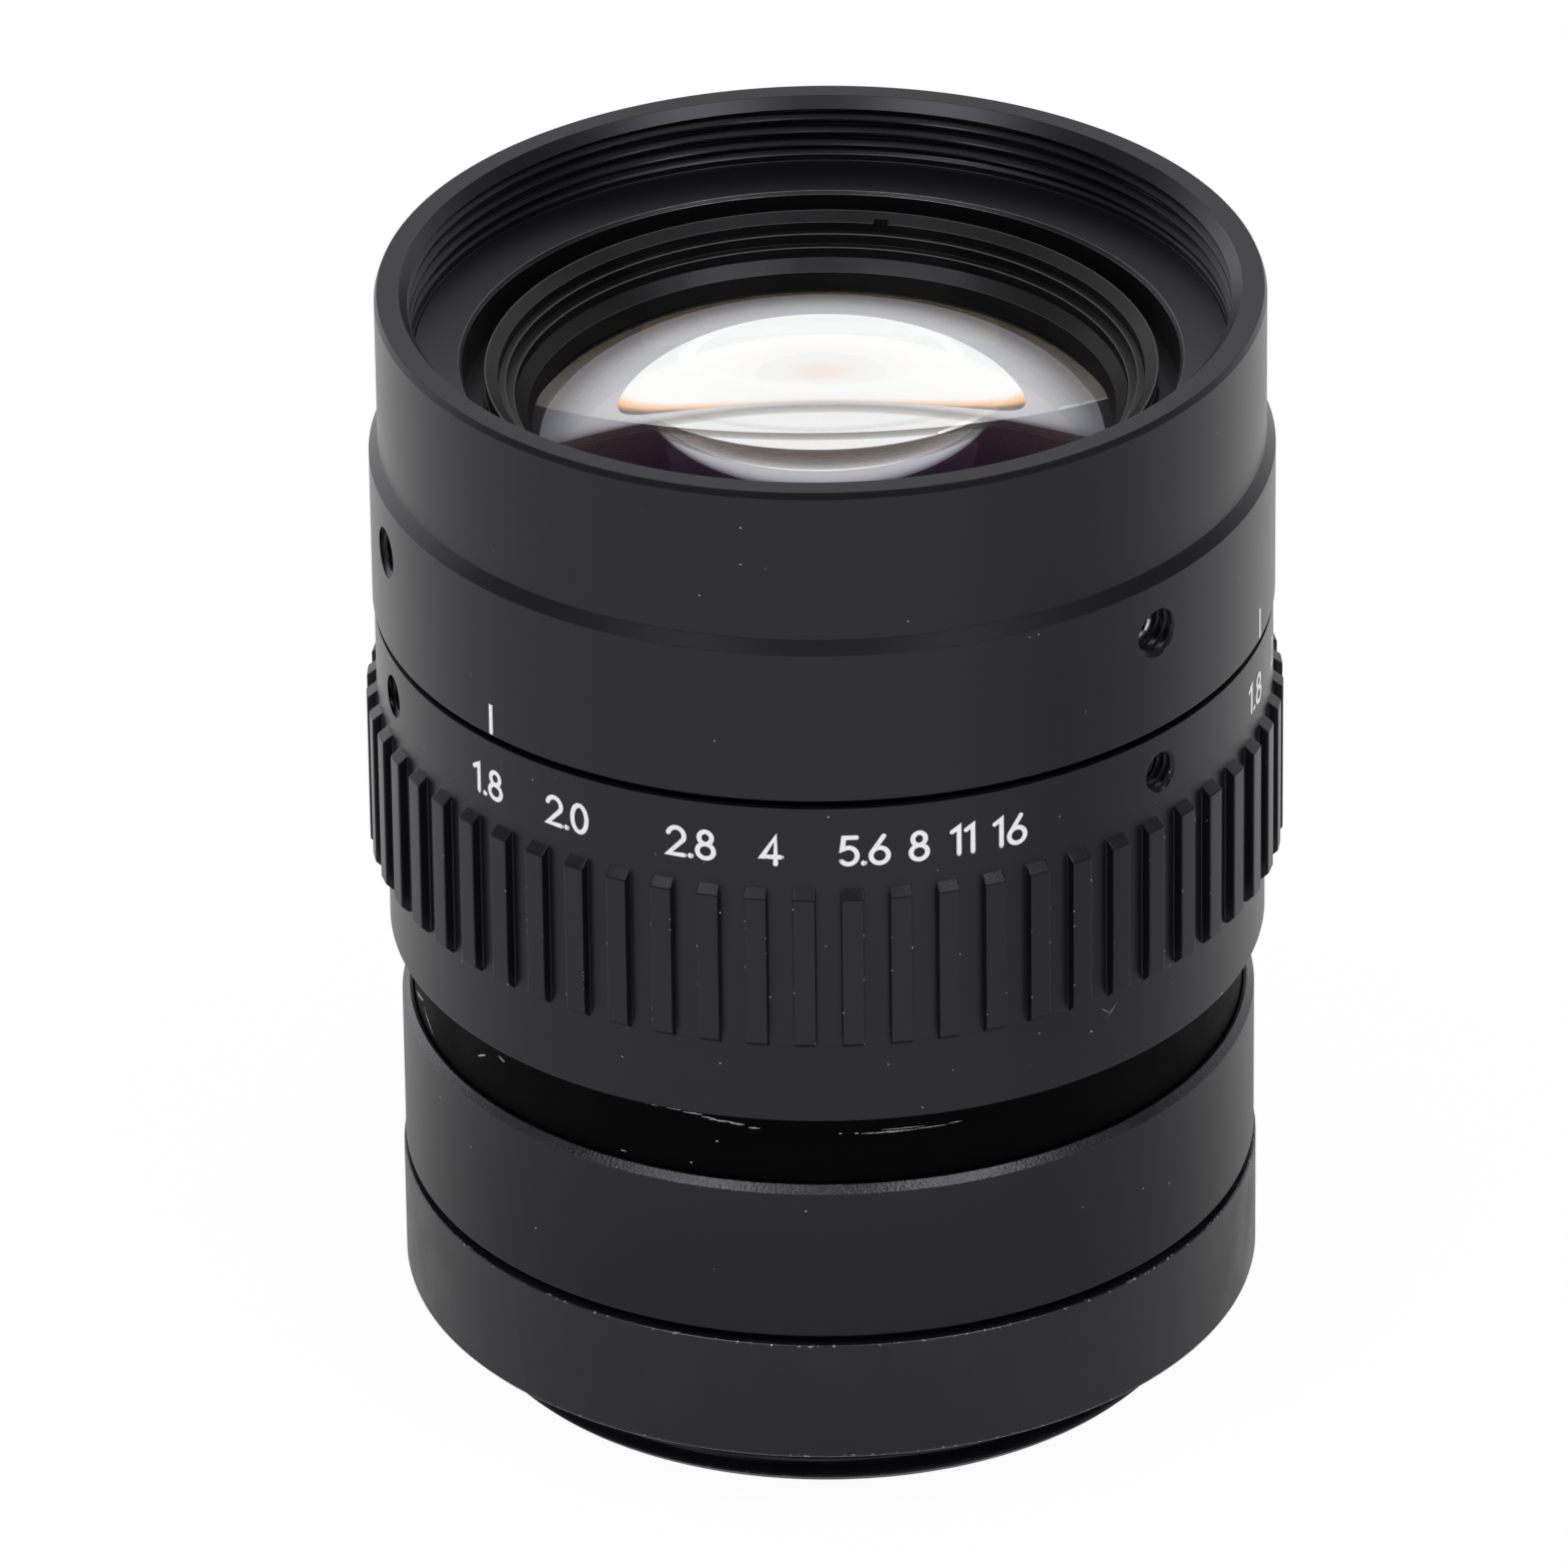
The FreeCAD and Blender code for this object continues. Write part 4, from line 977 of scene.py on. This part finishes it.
class LENS_OT_front_barrel(Operator):
    """Outer barrel with the filter thread, the ledge and three screw holes"""

    bl_idname = "lens.front_barrel"
    bl_label = "Front barrel"

    def execute(self, context):
        edge, fine, pitch, depth, run = in_mm(
            "edge", "small_edge", "filter_pitch", "filter_depth", "filter_length")
        bore = NOSE_RADIUS - 1.21
        bore_top = RIM_TOP - 0.37
        ledge_top = RIM_TOP - 2.35
        ledge_low = ledge_top - 0.35
        corners = [
            (13.62, INDEX_BOTTOM, 0), (INDEX_RADIUS, INDEX_BOTTOM, edge), (INDEX_RADIUS, STEP_BOTTOM, fine),
            (NOSE_RADIUS, STEP_TOP, 0.05), (NOSE_RADIUS, RIM_TOP - 0.23, fine),
            (NOSE_RADIUS - 0.09, RIM_TOP, fine), (bore + 0.37, RIM_TOP, fine), (bore, bore_top, 0.02),
            (bore, ledge_top, fine), (bore - 0.13, ledge_top, fine), (12.36, ledge_low, 0.03),
            (12.25, ledge_low - 0.11, 0.03), (12.25, ledge_low - 1.6, 0), (11.52, ledge_low - 1.6, 0),
            (11.52, FLANGE_TOP, 0), (13.62, FLANGE_TOP, 0),
        ]
        thread = (bore_top - run, RIM_TOP - 0.30, pitch, depth, bore)
        barrel = turned_piece("front_barrel_threaded", corners, facets(), material("black_anodised"), thread)
        cut_away(barrel, [drill(0.79, 0.93, INDEX_RADIUS, 13.0, INDEX_HOLE_AZIMUTH + turn, INDEX_HOLE_Z, 0.35)
                          for turn in THIRDS])
        turned_normals(barrel)
        paint_faces(barrel, "worn_ledge", lambda r, z, slope: (r < 12.5 and z > ledge_low - 0.3)
                    or (bore - 0.2 < r < bore + 0.02 and abs(z - ledge_top) < 0.07))
        dressed(barrel, "barrel", "black_anodised", "front_barrel")
        return {"FINISHED"}


class LENS_OT_index_marks(Operator):
    """Painted index marks over the iris ring"""

    bl_idname = "lens.index_marks"
    bl_label = "Index marks"

    def execute(self, context):
        stroke, mark_length = in_mm("numeral_stroke", "mark_length")
        low = INDEX_BOTTOM + 0.07
        high = low + mark_length
        radius = INDEX_RADIUS + PAINT_LIFT
        parts = []
        for turn in THIRDS:
            middle = math.radians(INDEX_AZIMUTH + turn - 90.0)
            left = middle - stroke / 2 / radius
            right = middle + stroke / 2 / radius
            places = ((left, low), (right, low), (right, high), (left, high))
            corners = [(radius * math.cos(a), radius * math.sin(a), z) for a, z in places]
            parts.append((corners, [(0, 1, 2, 3)]))
        marks = mesh_piece("index_mark_paint", *gathered(parts), material("scale_paint"), smooth=False)
        dressed(marks, "barrel", None)
        return {"FINISHED"}


def set_screw(radius, start, end, finish, socket, columns=72):
    """Headless screw along +X with a chamfered end and a six-sided socket, dark inside as painted shade."""

    def hexagon(size):
        return lambda angle: size / np.cos((angle % (math.pi / 3)) - math.pi / 6) * math.cos(math.pi / 6)

    hub = 0.001
    # The socket's rows take the dark steel, painted shade in the recess
    socket_row = 5  # first of the rows that are dark
    rows = [
        (start, hub), (start, radius - 0.1), (start + 0.1, radius), (end - 0.07, radius),
        (end, radius - 0.05), (end, hexagon(socket + 0.02)), (end - 0.03, hexagon(socket)),
        (end - 0.5, hexagon(socket)), (end - 0.62, hub),
    ]
    faces = [tuple(reversed(f)) for f in grid_faces(len(rows), columns, closed=False)]
    screw = mesh_piece("screw", side_grid(rows, columns), faces, finish, smooth=False)
    screw.data.materials.append(material("dark_steel_and_socket_shade"))
    dark = [int(k // columns >= socket_row) for k in range(len(faces))]
    screw.data.polygons.foreach_set("material_index", dark)
    return screw


class LENS_OT_set_screws(Operator):
    """Set screws at both heights"""

    bl_idname = "lens.set_screws"
    bl_label = "Set screws"

    def execute(self, context):
        groups = (
            ("clamp_set_screws", "index_screws", "barrel", (0.77, 13.3, INDEX_RADIUS - 0.75),
             INDEX_HOLE_Z, INDEX_HOLE_AZIMUTH, "screw_bright", 0.30),
            ("drive_set_screws", "drive_screws", "iris", (0.63, 12.25, BAND_RADIUS - 0.69),
             DRIVE_HOLE_Z, DRIVE_HOLE_AZIMUTH, "dark_steel_and_socket_shade", 0.4),
        )
        for name, node, body, shape, z, azimuth, finish, socket in groups:
            screws = []
            for turn in THIRDS:
                screw = set_screw(*shape, material(finish), socket)
                screw.matrix_world = polar_place(azimuth + turn, 0, z)
                screws.append(screw)
            bpy.context.view_layer.update()
            dressed(joined(name, screws), body, "screw_steel", node)
        return {"FINISHED"}


class LENS_OT_front_cell(Operator):
    """Front cell with its notched rim, and the stepped retaining ring"""

    bl_idname = "lens.front_cell"
    bl_label = "Front cell"

    def execute(self, context):
        fine = in_mm("small_edge")[0]
        edge_top = CELL_RIM - 2.70
        seat = edge_top - 1.56
        lip_top = CELL_LIP + 0.15
        corners = [
            (5.7, CELL_LIP, 0), (7.2, CELL_LIP, 0), (7.2, 25.95, 0), (12.9, 25.95, 0), (12.9, FLANGE_TOP, 0),
            (CELL_RADIUS, FLANGE_TOP, 0), (CELL_RADIUS, CELL_RIM, fine), (11.04, CELL_RIM - 0.29, 0.02),
            (11.04, edge_top, 0), (10.85, edge_top, 0), (10.85, seat, 0), (9.65, seat, 0),
            (9.65, 25.86, 0), (7.65, 25.86, 0), (7.65, lip_top, 0), (5.7, lip_top, 0),
        ]
        thread = (31.6, CELL_RIM - 0.1, 0.5, -0.25, CELL_RADIUS)
        cell = turned_piece("front_cell_threaded", corners, facets(), material("matte_black"), thread,
                            crest_sheen_mark=0.12, edge_mark=0.1)
        low = (10.5, -0.25, RING_TOP + 0.1)
        high = (11.2, 0.25, CELL_RIM + 0.5)
        cut_away(cell, [block(low, high, azimuth) for azimuth in (169.0, 349.0)])
        turned_normals(cell)
        dressed(cell, "barrel", "inner_black", "front_cell")
        outer = 11.02
        inner = 9.87
        first = RING_TOP - 0.38
        second = RING_TOP - 0.76
        corners = [
            (inner, RING_LOW + 0.06, 0), (outer, edge_top + 0.05, 0), (outer, RING_TOP, 0.02),
            (outer - 0.26, RING_TOP, 0.03), (outer - 0.26, first, 0.02), (outer - 0.55, first, 0.03),
            (outer - 0.55, second, 0.02), (inner + 0.2, RING_TOP - 1.14, 0.03), (inner, RING_LOW + 0.26, 0.02),
        ]
        ring = turned_piece("stepped_retaining_ring", corners, facets(), material("matte_black"), edge_mark=0.1)
        turned_normals(ring)
        dressed(ring, "barrel", "inner_black", "front_retaining_ring")
        return {"FINISHED"}


def sag(curvature, radius):
    """Fall of a glass surface from its vertex at a radius."""
    size = abs(curvature)
    return math.copysign(size - math.sqrt(size * size - radius * radius), curvature)


def lens_element(name, radius, front, front_curve, back, back_curve, finish, columns=128, rings=20):
    """Glass element with two smooth faces and a plain edge."""
    hub = 0.0005  # the middle of each face is a tiny ring, closed by one more face

    def section(vertex, curve):
        steps = [radius * k / rings for k in range(rings + 1)]
        return [(max(r, hub), vertex - sag(curve, r)) for r in steps]

    points = section(back, back_curve) + section(front, front_curve)[::-1]
    faces = grid_faces(len(points), columns, closed=False)
    last = (len(points) - 1) * columns
    faces += [tuple(reversed(range(columns))), tuple(range(last, last + columns))]
    piece = mesh_piece(name, turned_grid(points, columns), faces, finish)
    normals = []
    mesh = piece.data
    for polygon in mesh.polygons:
        row = polygon.index // columns
        at_back = row < rings or polygon.index == len(faces) - 2
        curve, way = (back_curve, -1) if at_back else (front_curve, 1)
        for corner in polygon.vertices:
            x, y = mesh.vertices[corner].co.xy / MM
            r = math.hypot(x, y)
            slope = math.asin(r / abs(curve)) * math.copysign(1, curve)
            lean = way * math.sin(slope) / r
            if at_back or row > rings:
                normals.append(Vector((x * lean, y * lean, way * math.cos(slope))))
            else:
                normals.append(Vector((x, y, 0)).normalized())
    mesh.normals_split_custom_set(normals)
    return piece


class LENS_OT_glass(Operator):
    """The two front glass elements with their coating, and the lip of the spacer between them and a sleeve
    round the second element, which glow as painted light
    """

    bl_idname = "lens.glass"
    bl_label = "Glass"

    def execute(self, context):
        table = (
            ("front_element", 10.8, 24.0, 80.0, "front_glass"),
            ("second_element", 9.6, 16.0, 30.0, "inner_glass"),
        )
        for node, radius, front_curve, back_curve, finish in table:
            low, front = node_heights(node)
            back = low + sag(back_curve, radius)
            name = node + "_polished"
            piece = lens_element(name, radius, front, front_curve, back, back_curve, material(finish))
            dressed(piece, "barrel", "lens_glass", node)
        seat, lip = node_heights("front_spacer")
        lip -= 0.67
        # The lip and the sleeve take glowing finishes, painted light in place of the light that comes up
        # through the lens
        rings = (
            ("front_spacer_glowing_lip", "grey_lip_painted_glow",
             [(7.0, lip), (9.2, lip - 0.04), (9.2, lip + 0.02), (7.0, lip + 0.03)]),
            ("second_element_glowing_sleeve", "spacer_painted_backlight",
             [(9.61, seat - 1.65), (9.64, seat - 1.65), (9.64, seat - 0.02), (9.61, seat - 0.02)]),
        )
        for name, finish, corners in rings:
            ring = turned_piece(name, [(*corner, 0) for corner in corners], 192, material(finish))
            dressed(ring, "barrel", None)
        return {"FINISHED"}


def smear(chance, azimuth, z, span, width, slope, radius):
    """Corners and faces of a small irregular patch on a turned wall."""
    count = max(4, int(span / 0.07))
    points = []
    for k in range(count + 1):
        share = k / count
        x = (share - 0.5) * span
        swell = width * (0.25 + 0.75 * math.sin(math.pi * share)) * chance.uniform(0.55, 1.25)
        shift = chance.uniform(-0.15, 0.15) * width
        angle = math.radians(azimuth - 90.0) + x / radius
        for side in (-0.5, 0.5):
            level = z + slope * x + shift + side * swell
            points.append((radius * math.cos(angle), radius * math.sin(angle), level))
    return points, [(k, k + 2, k + 3, k + 1) for k in range(0, 2 * count, 2)]


def smeared(name, body, finish, spots, radius, seed):
    """Small patches that lie on a turned wall of a body."""
    chance = random.Random(seed)
    patches = gathered([smear(chance, *spot, radius) for spot in spots])
    dressed(mesh_piece(name, *patches, material(finish)), body, None)


class LENS_OT_grease_and_lint(Operator):
    """Grease streaks in the focus gap, pale as a painted sheen, lint and dust on the rings"""

    bl_idname = "lens.grease_and_lint"
    bl_label = "Grease and lint"

    def execute(self, context):
        # Azimuth in degrees, height, length and width in millimetres, and slope of each patch
        streaks = (
            (-24.6, 13.1, 0.8, 0.05, 0.02), (-21.6, 13.09, 0.5, 0.04, 0.0), (-18.9, 13.05, 0.7, 0.05, 0.0),
            (-16.6, 12.97, 0.5, 0.05, -0.05), (-14.8, 12.91, 0.9, 0.07, -0.02),
            (-12.6, 12.86, 0.5, 0.07, -0.02), (-10.3, 12.76, 0.4, 0.06, 0.0), (-29.3, 10.98, 0.24, 0.04, 0.05),
            (-15.5, 12.09, 0.08, 0.08, 0.0), (-19.2, 11.1, 0.07, 0.07, 0.0), (-55.9, 12.2, 0.5, 0.08, 0.5),
            (-51.2, 12.6, 0.35, 0.07, -0.3), (-80.0, 11.4, 1.6, 0.12, 0.3), (-74.0, 11.2, 1.2, 0.1, -0.4),
            (1.4, 12.63, 0.1, 0.06, 0.0), (3.6, 12.62, 0.12, 0.07, 0.0), (8.0, 12.6, 1.9, 0.05, 0.0),
            (10.0, 12.7, 1.5, 0.03, 0.0), (13.9, 12.62, 1.1, 0.03, 0.0), (17.2, 12.66, 0.5, 0.03, 0.03),
        )
        lint = (
            (39.4, 15.81, 0.5, 0.03, 0.9), (38.3, 15.9, 0.35, 0.03, -0.8), (62.8, 13.66, 0.1, 0.1, 0.0),
            (36.0, 15.3, 0.09, 0.07, 0.0), (28.0, 15.9, 0.06, 0.05, 0.0), (16.0, 15.2, 0.05, 0.05, 0.0),
        )
        smeared("grease_streaks", "barrel", "grease_with_painted_sheen", streaks, TUBE_RADIUS + 0.004, 3)
        smeared("lint_on_skirt", "iris", "dust_pale", lint, SKIRT_RADIUS + 0.004, 8)
        chance = random.Random(21)
        nicks = []
        for tooth in range(-10, 11):
            for _ in range(chance.randrange(1, 6)):
                azimuth = TOOTH_AZIMUTH + TOOTH_PERIOD * tooth + chance.choice((-LAND_EDGE, LAND_EDGE))
                z = chance.uniform(KNURL_BOTTOM + 0.1, KNURL_TOP - 0.5)
                nicks.append((azimuth, z, 0.035, chance.choice((0.03, 0.05, 0.09)), 0.0))
        smeared("nicks_on_lands", "iris", "dust_pale", nicks, LAND_RADIUS + 0.002, 40)
        walls = (
            ("specks_on_nose", "barrel", NOSE_RADIUS, STEP_TOP + 0.3, RIM_TOP - 0.4, 30),
            ("specks_on_index_wall", "barrel", INDEX_RADIUS, INDEX_BOTTOM + 0.1, STEP_BOTTOM - 0.2, 34),
            ("specks_on_scale", "iris", BAND_RADIUS, KNURL_TOP + 0.2, IRIS_TOP - 0.3, 30),
            ("specks_on_lands", "iris", LAND_RADIUS - 0.02, KNURL_BOTTOM + 0.3, KNURL_TOP - 0.4, 30),
            ("specks_on_skirt", "iris", SKIRT_RADIUS, IRIS_BOTTOM + 0.2, KNURL_BOTTOM - 0.2, 34),
            ("specks_on_focus_ring", "focus", FOCUS_RADIUS, FOCUS_BOTTOM + 0.3, FOCUS_TOP - 0.4, 30),
        )
        for name, body, radius, low, high, count in walls:
            specks = []
            for _ in range(count):
                size = chance.choice((0.035, 0.045, 0.06, 0.075))
                specks.append((chance.uniform(-180.0, 180.0), chance.uniform(low, high), size, size * 0.8,
                               chance.uniform(-0.4, 0.4)))
            smeared(name, body, "dust_pale", specks, radius + PAINT_LIFT, chance.randrange(1000))
        return {"FINISHED"}


class LENS_OT_inner_pieces(Operator):
    """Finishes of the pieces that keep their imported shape"""

    bl_idname = "lens.inner_pieces"
    bl_label = "Inner pieces"

    def execute(self, context):
        finishes = {
            # Painted shade: the tube seen in the focus gap takes the near-black gap finish
            "main_barrel": "gap_shade_black",
            "guide_keys": "key_brass_finish",
            # Both spacers glow as painted light, in place of the light that comes up through the lens
            "front_spacer": "spacer_painted_backlight",
            "doublet_spacer": "spacer_painted_backlight",
        }
        for node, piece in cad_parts.items():
            if piece.hide_render:
                continue
            finish = finishes.get(node, "inner_black_finish")
            if node.startswith("iris_blade"):
                finish = "blade_grey"
            elif node.endswith(("element", "crown", "flint")):
                finish = "inner_glass"
            for slot in piece.material_slots:
                slot.material = material(finish)
        return {"FINISHED"}


def light_surroundings(stage):
    """World that is white to the camera, plain to rough rays, and a dim room with a pale sweep to gloss."""
    world = bpy.data.worlds.new("white_surroundings")
    bpy.context.scene.world = world
    world.use_nodes = True
    tree = world.node_tree
    rays = add_node(tree, "LightPath", {})
    direction = add_node(tree, "SeparateXYZ", {"Vector": add_node(tree, "TexCoord", {})["Generated"]})
    sweep_start = 0.25
    sweep_full = 0.6
    behind = ramp(tree, direction["Y"], sweep_start, sweep_full)
    room = mix_value(tree, behind, stage.room, stage.sweep)
    around = mix_value(tree, rays["Is Glossy Ray"], stage.world, room)
    feed(tree, tree.nodes["Background"], {
        "Color": (1, 1, 1, 1), "Strength": mix_value(tree, rays["Is Camera Ray"], around, 1.0)})


def lay_floor(colours, stage):
    """White floor that keeps the shadow, and shows the gloss a painted shade near the lens and at the front
    right.
    """
    tree, shader = new_surface("white_floor")
    feed(tree, shader, {"Base Color": (*colours.floor, 1.0), "Roughness": 0.9, "Specular IOR Level": 0.0})
    rays = add_node(tree, "LightPath", {})
    # Painted shade: the gloss sees the floor darker near the lens, fading out between 18 and 55 mm, and round a
    # spot at the front right
    dim = 0.55
    camera_share = 0.96
    gloss_share = 0.9
    under_lens = (0.0, 0.0, 0.0)
    painted_shade_spot = (0.062, -0.034, MOUNT_END * MM)
    far = ramp(tree, distance_from(tree, under_lens), 0.018, 0.055)
    clear = ramp(tree, distance_from(tree, painted_shade_spot), 0.012, 0.045)
    painted_shade_in_gloss = add_math(tree, "MULTIPLY", mix_value(tree, far, dim * stage.table, stage.table),
                   mix_value(tree, clear, dim, 1.0))
    output = mix_value(tree, rays["Is Glossy Ray"], 1.0, painted_shade_in_gloss)
    glow = add_node(tree, "Emission", {"Strength": output})["Emission"]
    straight = add_math(tree, "MAXIMUM", rays["Is Camera Ray"], rays["Is Transmission Ray"])
    share = add_math(tree, "MAXIMUM", add_math(tree, "MULTIPLY", straight, camera_share),
                     add_math(tree, "MULTIPLY", rays["Is Glossy Ray"], gloss_share))
    blend = add_node(tree, "MixShader", {0: share, 1: shader.outputs["BSDF"], 2: glow})["Shader"]
    feed(tree, tree.nodes["Material Output"], {"Surface": blend})
    reach = 1500
    corners = [(reach * math.cos(a), reach * math.sin(a), MOUNT_END) for a in np.arange(64) * 2 * math.pi / 64]
    floor = mesh_piece("floor", corners, [tuple(range(64))], material("white_floor"))


def hang_softboxes(stage):
    """Two softboxes beside the camera, a large one at the left and one above and behind."""
    boxes = (
        (-stage.box_azimuth, stage.box_elevation, stage.box_size, stage.box_strength),
        (stage.box_azimuth, stage.box_elevation, stage.box_size, stage.box_strength),
        (math.radians(-125.0), math.radians(-4.0), 1.0, stage.side_strength),
        (math.radians(180.0), math.radians(62.0), 0.6, stage.top_strength),
    )
    for azimuth, elevation, size, power in boxes:
        light = bpy.data.lights.new("softbox", "AREA")
        light.energy = power
        light.size = size
        lamp = bpy.data.objects.new("softbox", light)
        bpy.context.scene.collection.objects.link(lamp)
        level = math.cos(elevation)
        away = Vector((math.sin(azimuth) * level, -math.cos(azimuth) * level, math.sin(elevation)))
        lamp.location = away + Vector((0, 0, stage.look_height))
        lamp.rotation_euler = away.to_track_quat("Z", "Y").to_euler()


def place_camera(stage):
    """Camera that looks along +Y and down at the lens."""
    data = bpy.data.cameras.new("camera")
    data.sensor_width = 36.0
    data.lens = stage.focal
    data.shift_x = stage.shift_x
    data.shift_y = stage.shift_y
    data.clip_start = 0.01
    data.clip_end = 10.0
    camera = bpy.data.objects.new("camera", data)
    bpy.context.scene.collection.objects.link(camera)
    forward = Vector((0, math.cos(stage.elevation), -math.sin(stage.elevation)))
    level = Vector((1, 0, 0))
    upward = level.cross(forward)
    right = math.cos(stage.roll) * level + math.sin(stage.roll) * upward
    up = math.cos(stage.roll) * upward - math.sin(stage.roll) * level
    matrix = Matrix((right, up, -forward)).transposed().to_4x4()
    matrix.translation = Vector((0, 0, stage.look_height)) - forward * stage.distance
    camera.matrix_world = matrix
    bpy.context.scene.camera = camera


class LENS_OT_stage(Operator):
    """Floor, surroundings, lamps and camera"""

    bl_idname = "lens.stage"
    bl_label = "Stage"

    def execute(self, context):
        stage = context.scene.lens_stage
        light_surroundings(stage)
        lay_floor(context.scene.lens_colours, stage)
        hang_softboxes(stage)
        place_camera(stage)
        context.scene.view_settings.view_transform = "Standard"
        return {"FINISHED"}


class LENS_PT_panel(Panel):
    """Lists the steps that build the lens"""

    bl_label = "Machine vision lens"
    bl_idname = "LENS_PT_panel"
    bl_space_type = "VIEW_3D"
    bl_region_type = "UI"
    bl_category = "Lens"

    def draw(self, context):
        for operator in OPERATORS:
            self.layout.operator(operator.bl_idname)


GROUPS = (LensSizes, LensColours, StageSettings)
OPERATORS = (
    LENS_OT_mount_base,
    LENS_OT_focus_ring,
    LENS_OT_iris_ring,
    LENS_OT_f_numbers,
    LENS_OT_front_barrel,
    LENS_OT_index_marks,
    LENS_OT_set_screws,
    LENS_OT_front_cell,
    LENS_OT_glass,
    LENS_OT_grease_and_lint,
    LENS_OT_inner_pieces,
    LENS_OT_stage,
)


def register():
    """Adds the classes and the settings to Blender."""
    for group in GROUPS + OPERATORS + (LENS_PT_panel,):
        bpy.utils.register_class(group)
    bpy.types.Scene.lens_sizes = PointerProperty(type=LensSizes)
    bpy.types.Scene.lens_colours = PointerProperty(type=LensColours)
    bpy.types.Scene.lens_stage = PointerProperty(type=StageSettings)


def unregister():
    """Takes the classes and the settings out of Blender."""
    del bpy.types.Scene.lens_stage
    del bpy.types.Scene.lens_colours
    del bpy.types.Scene.lens_sizes
    for group in reversed(GROUPS + OPERATORS + (LENS_PT_panel,)):
        bpy.utils.unregister_class(group)


def main():
    """Builds the lens piece by piece."""
    register()
    make_surfaces(bpy.context.scene.lens_colours)
    for operator in OPERATORS:
        group, name = operator.bl_idname.split(".")
        getattr(getattr(bpy.ops, group), name)()


if __name__ == "__main__":
    main()
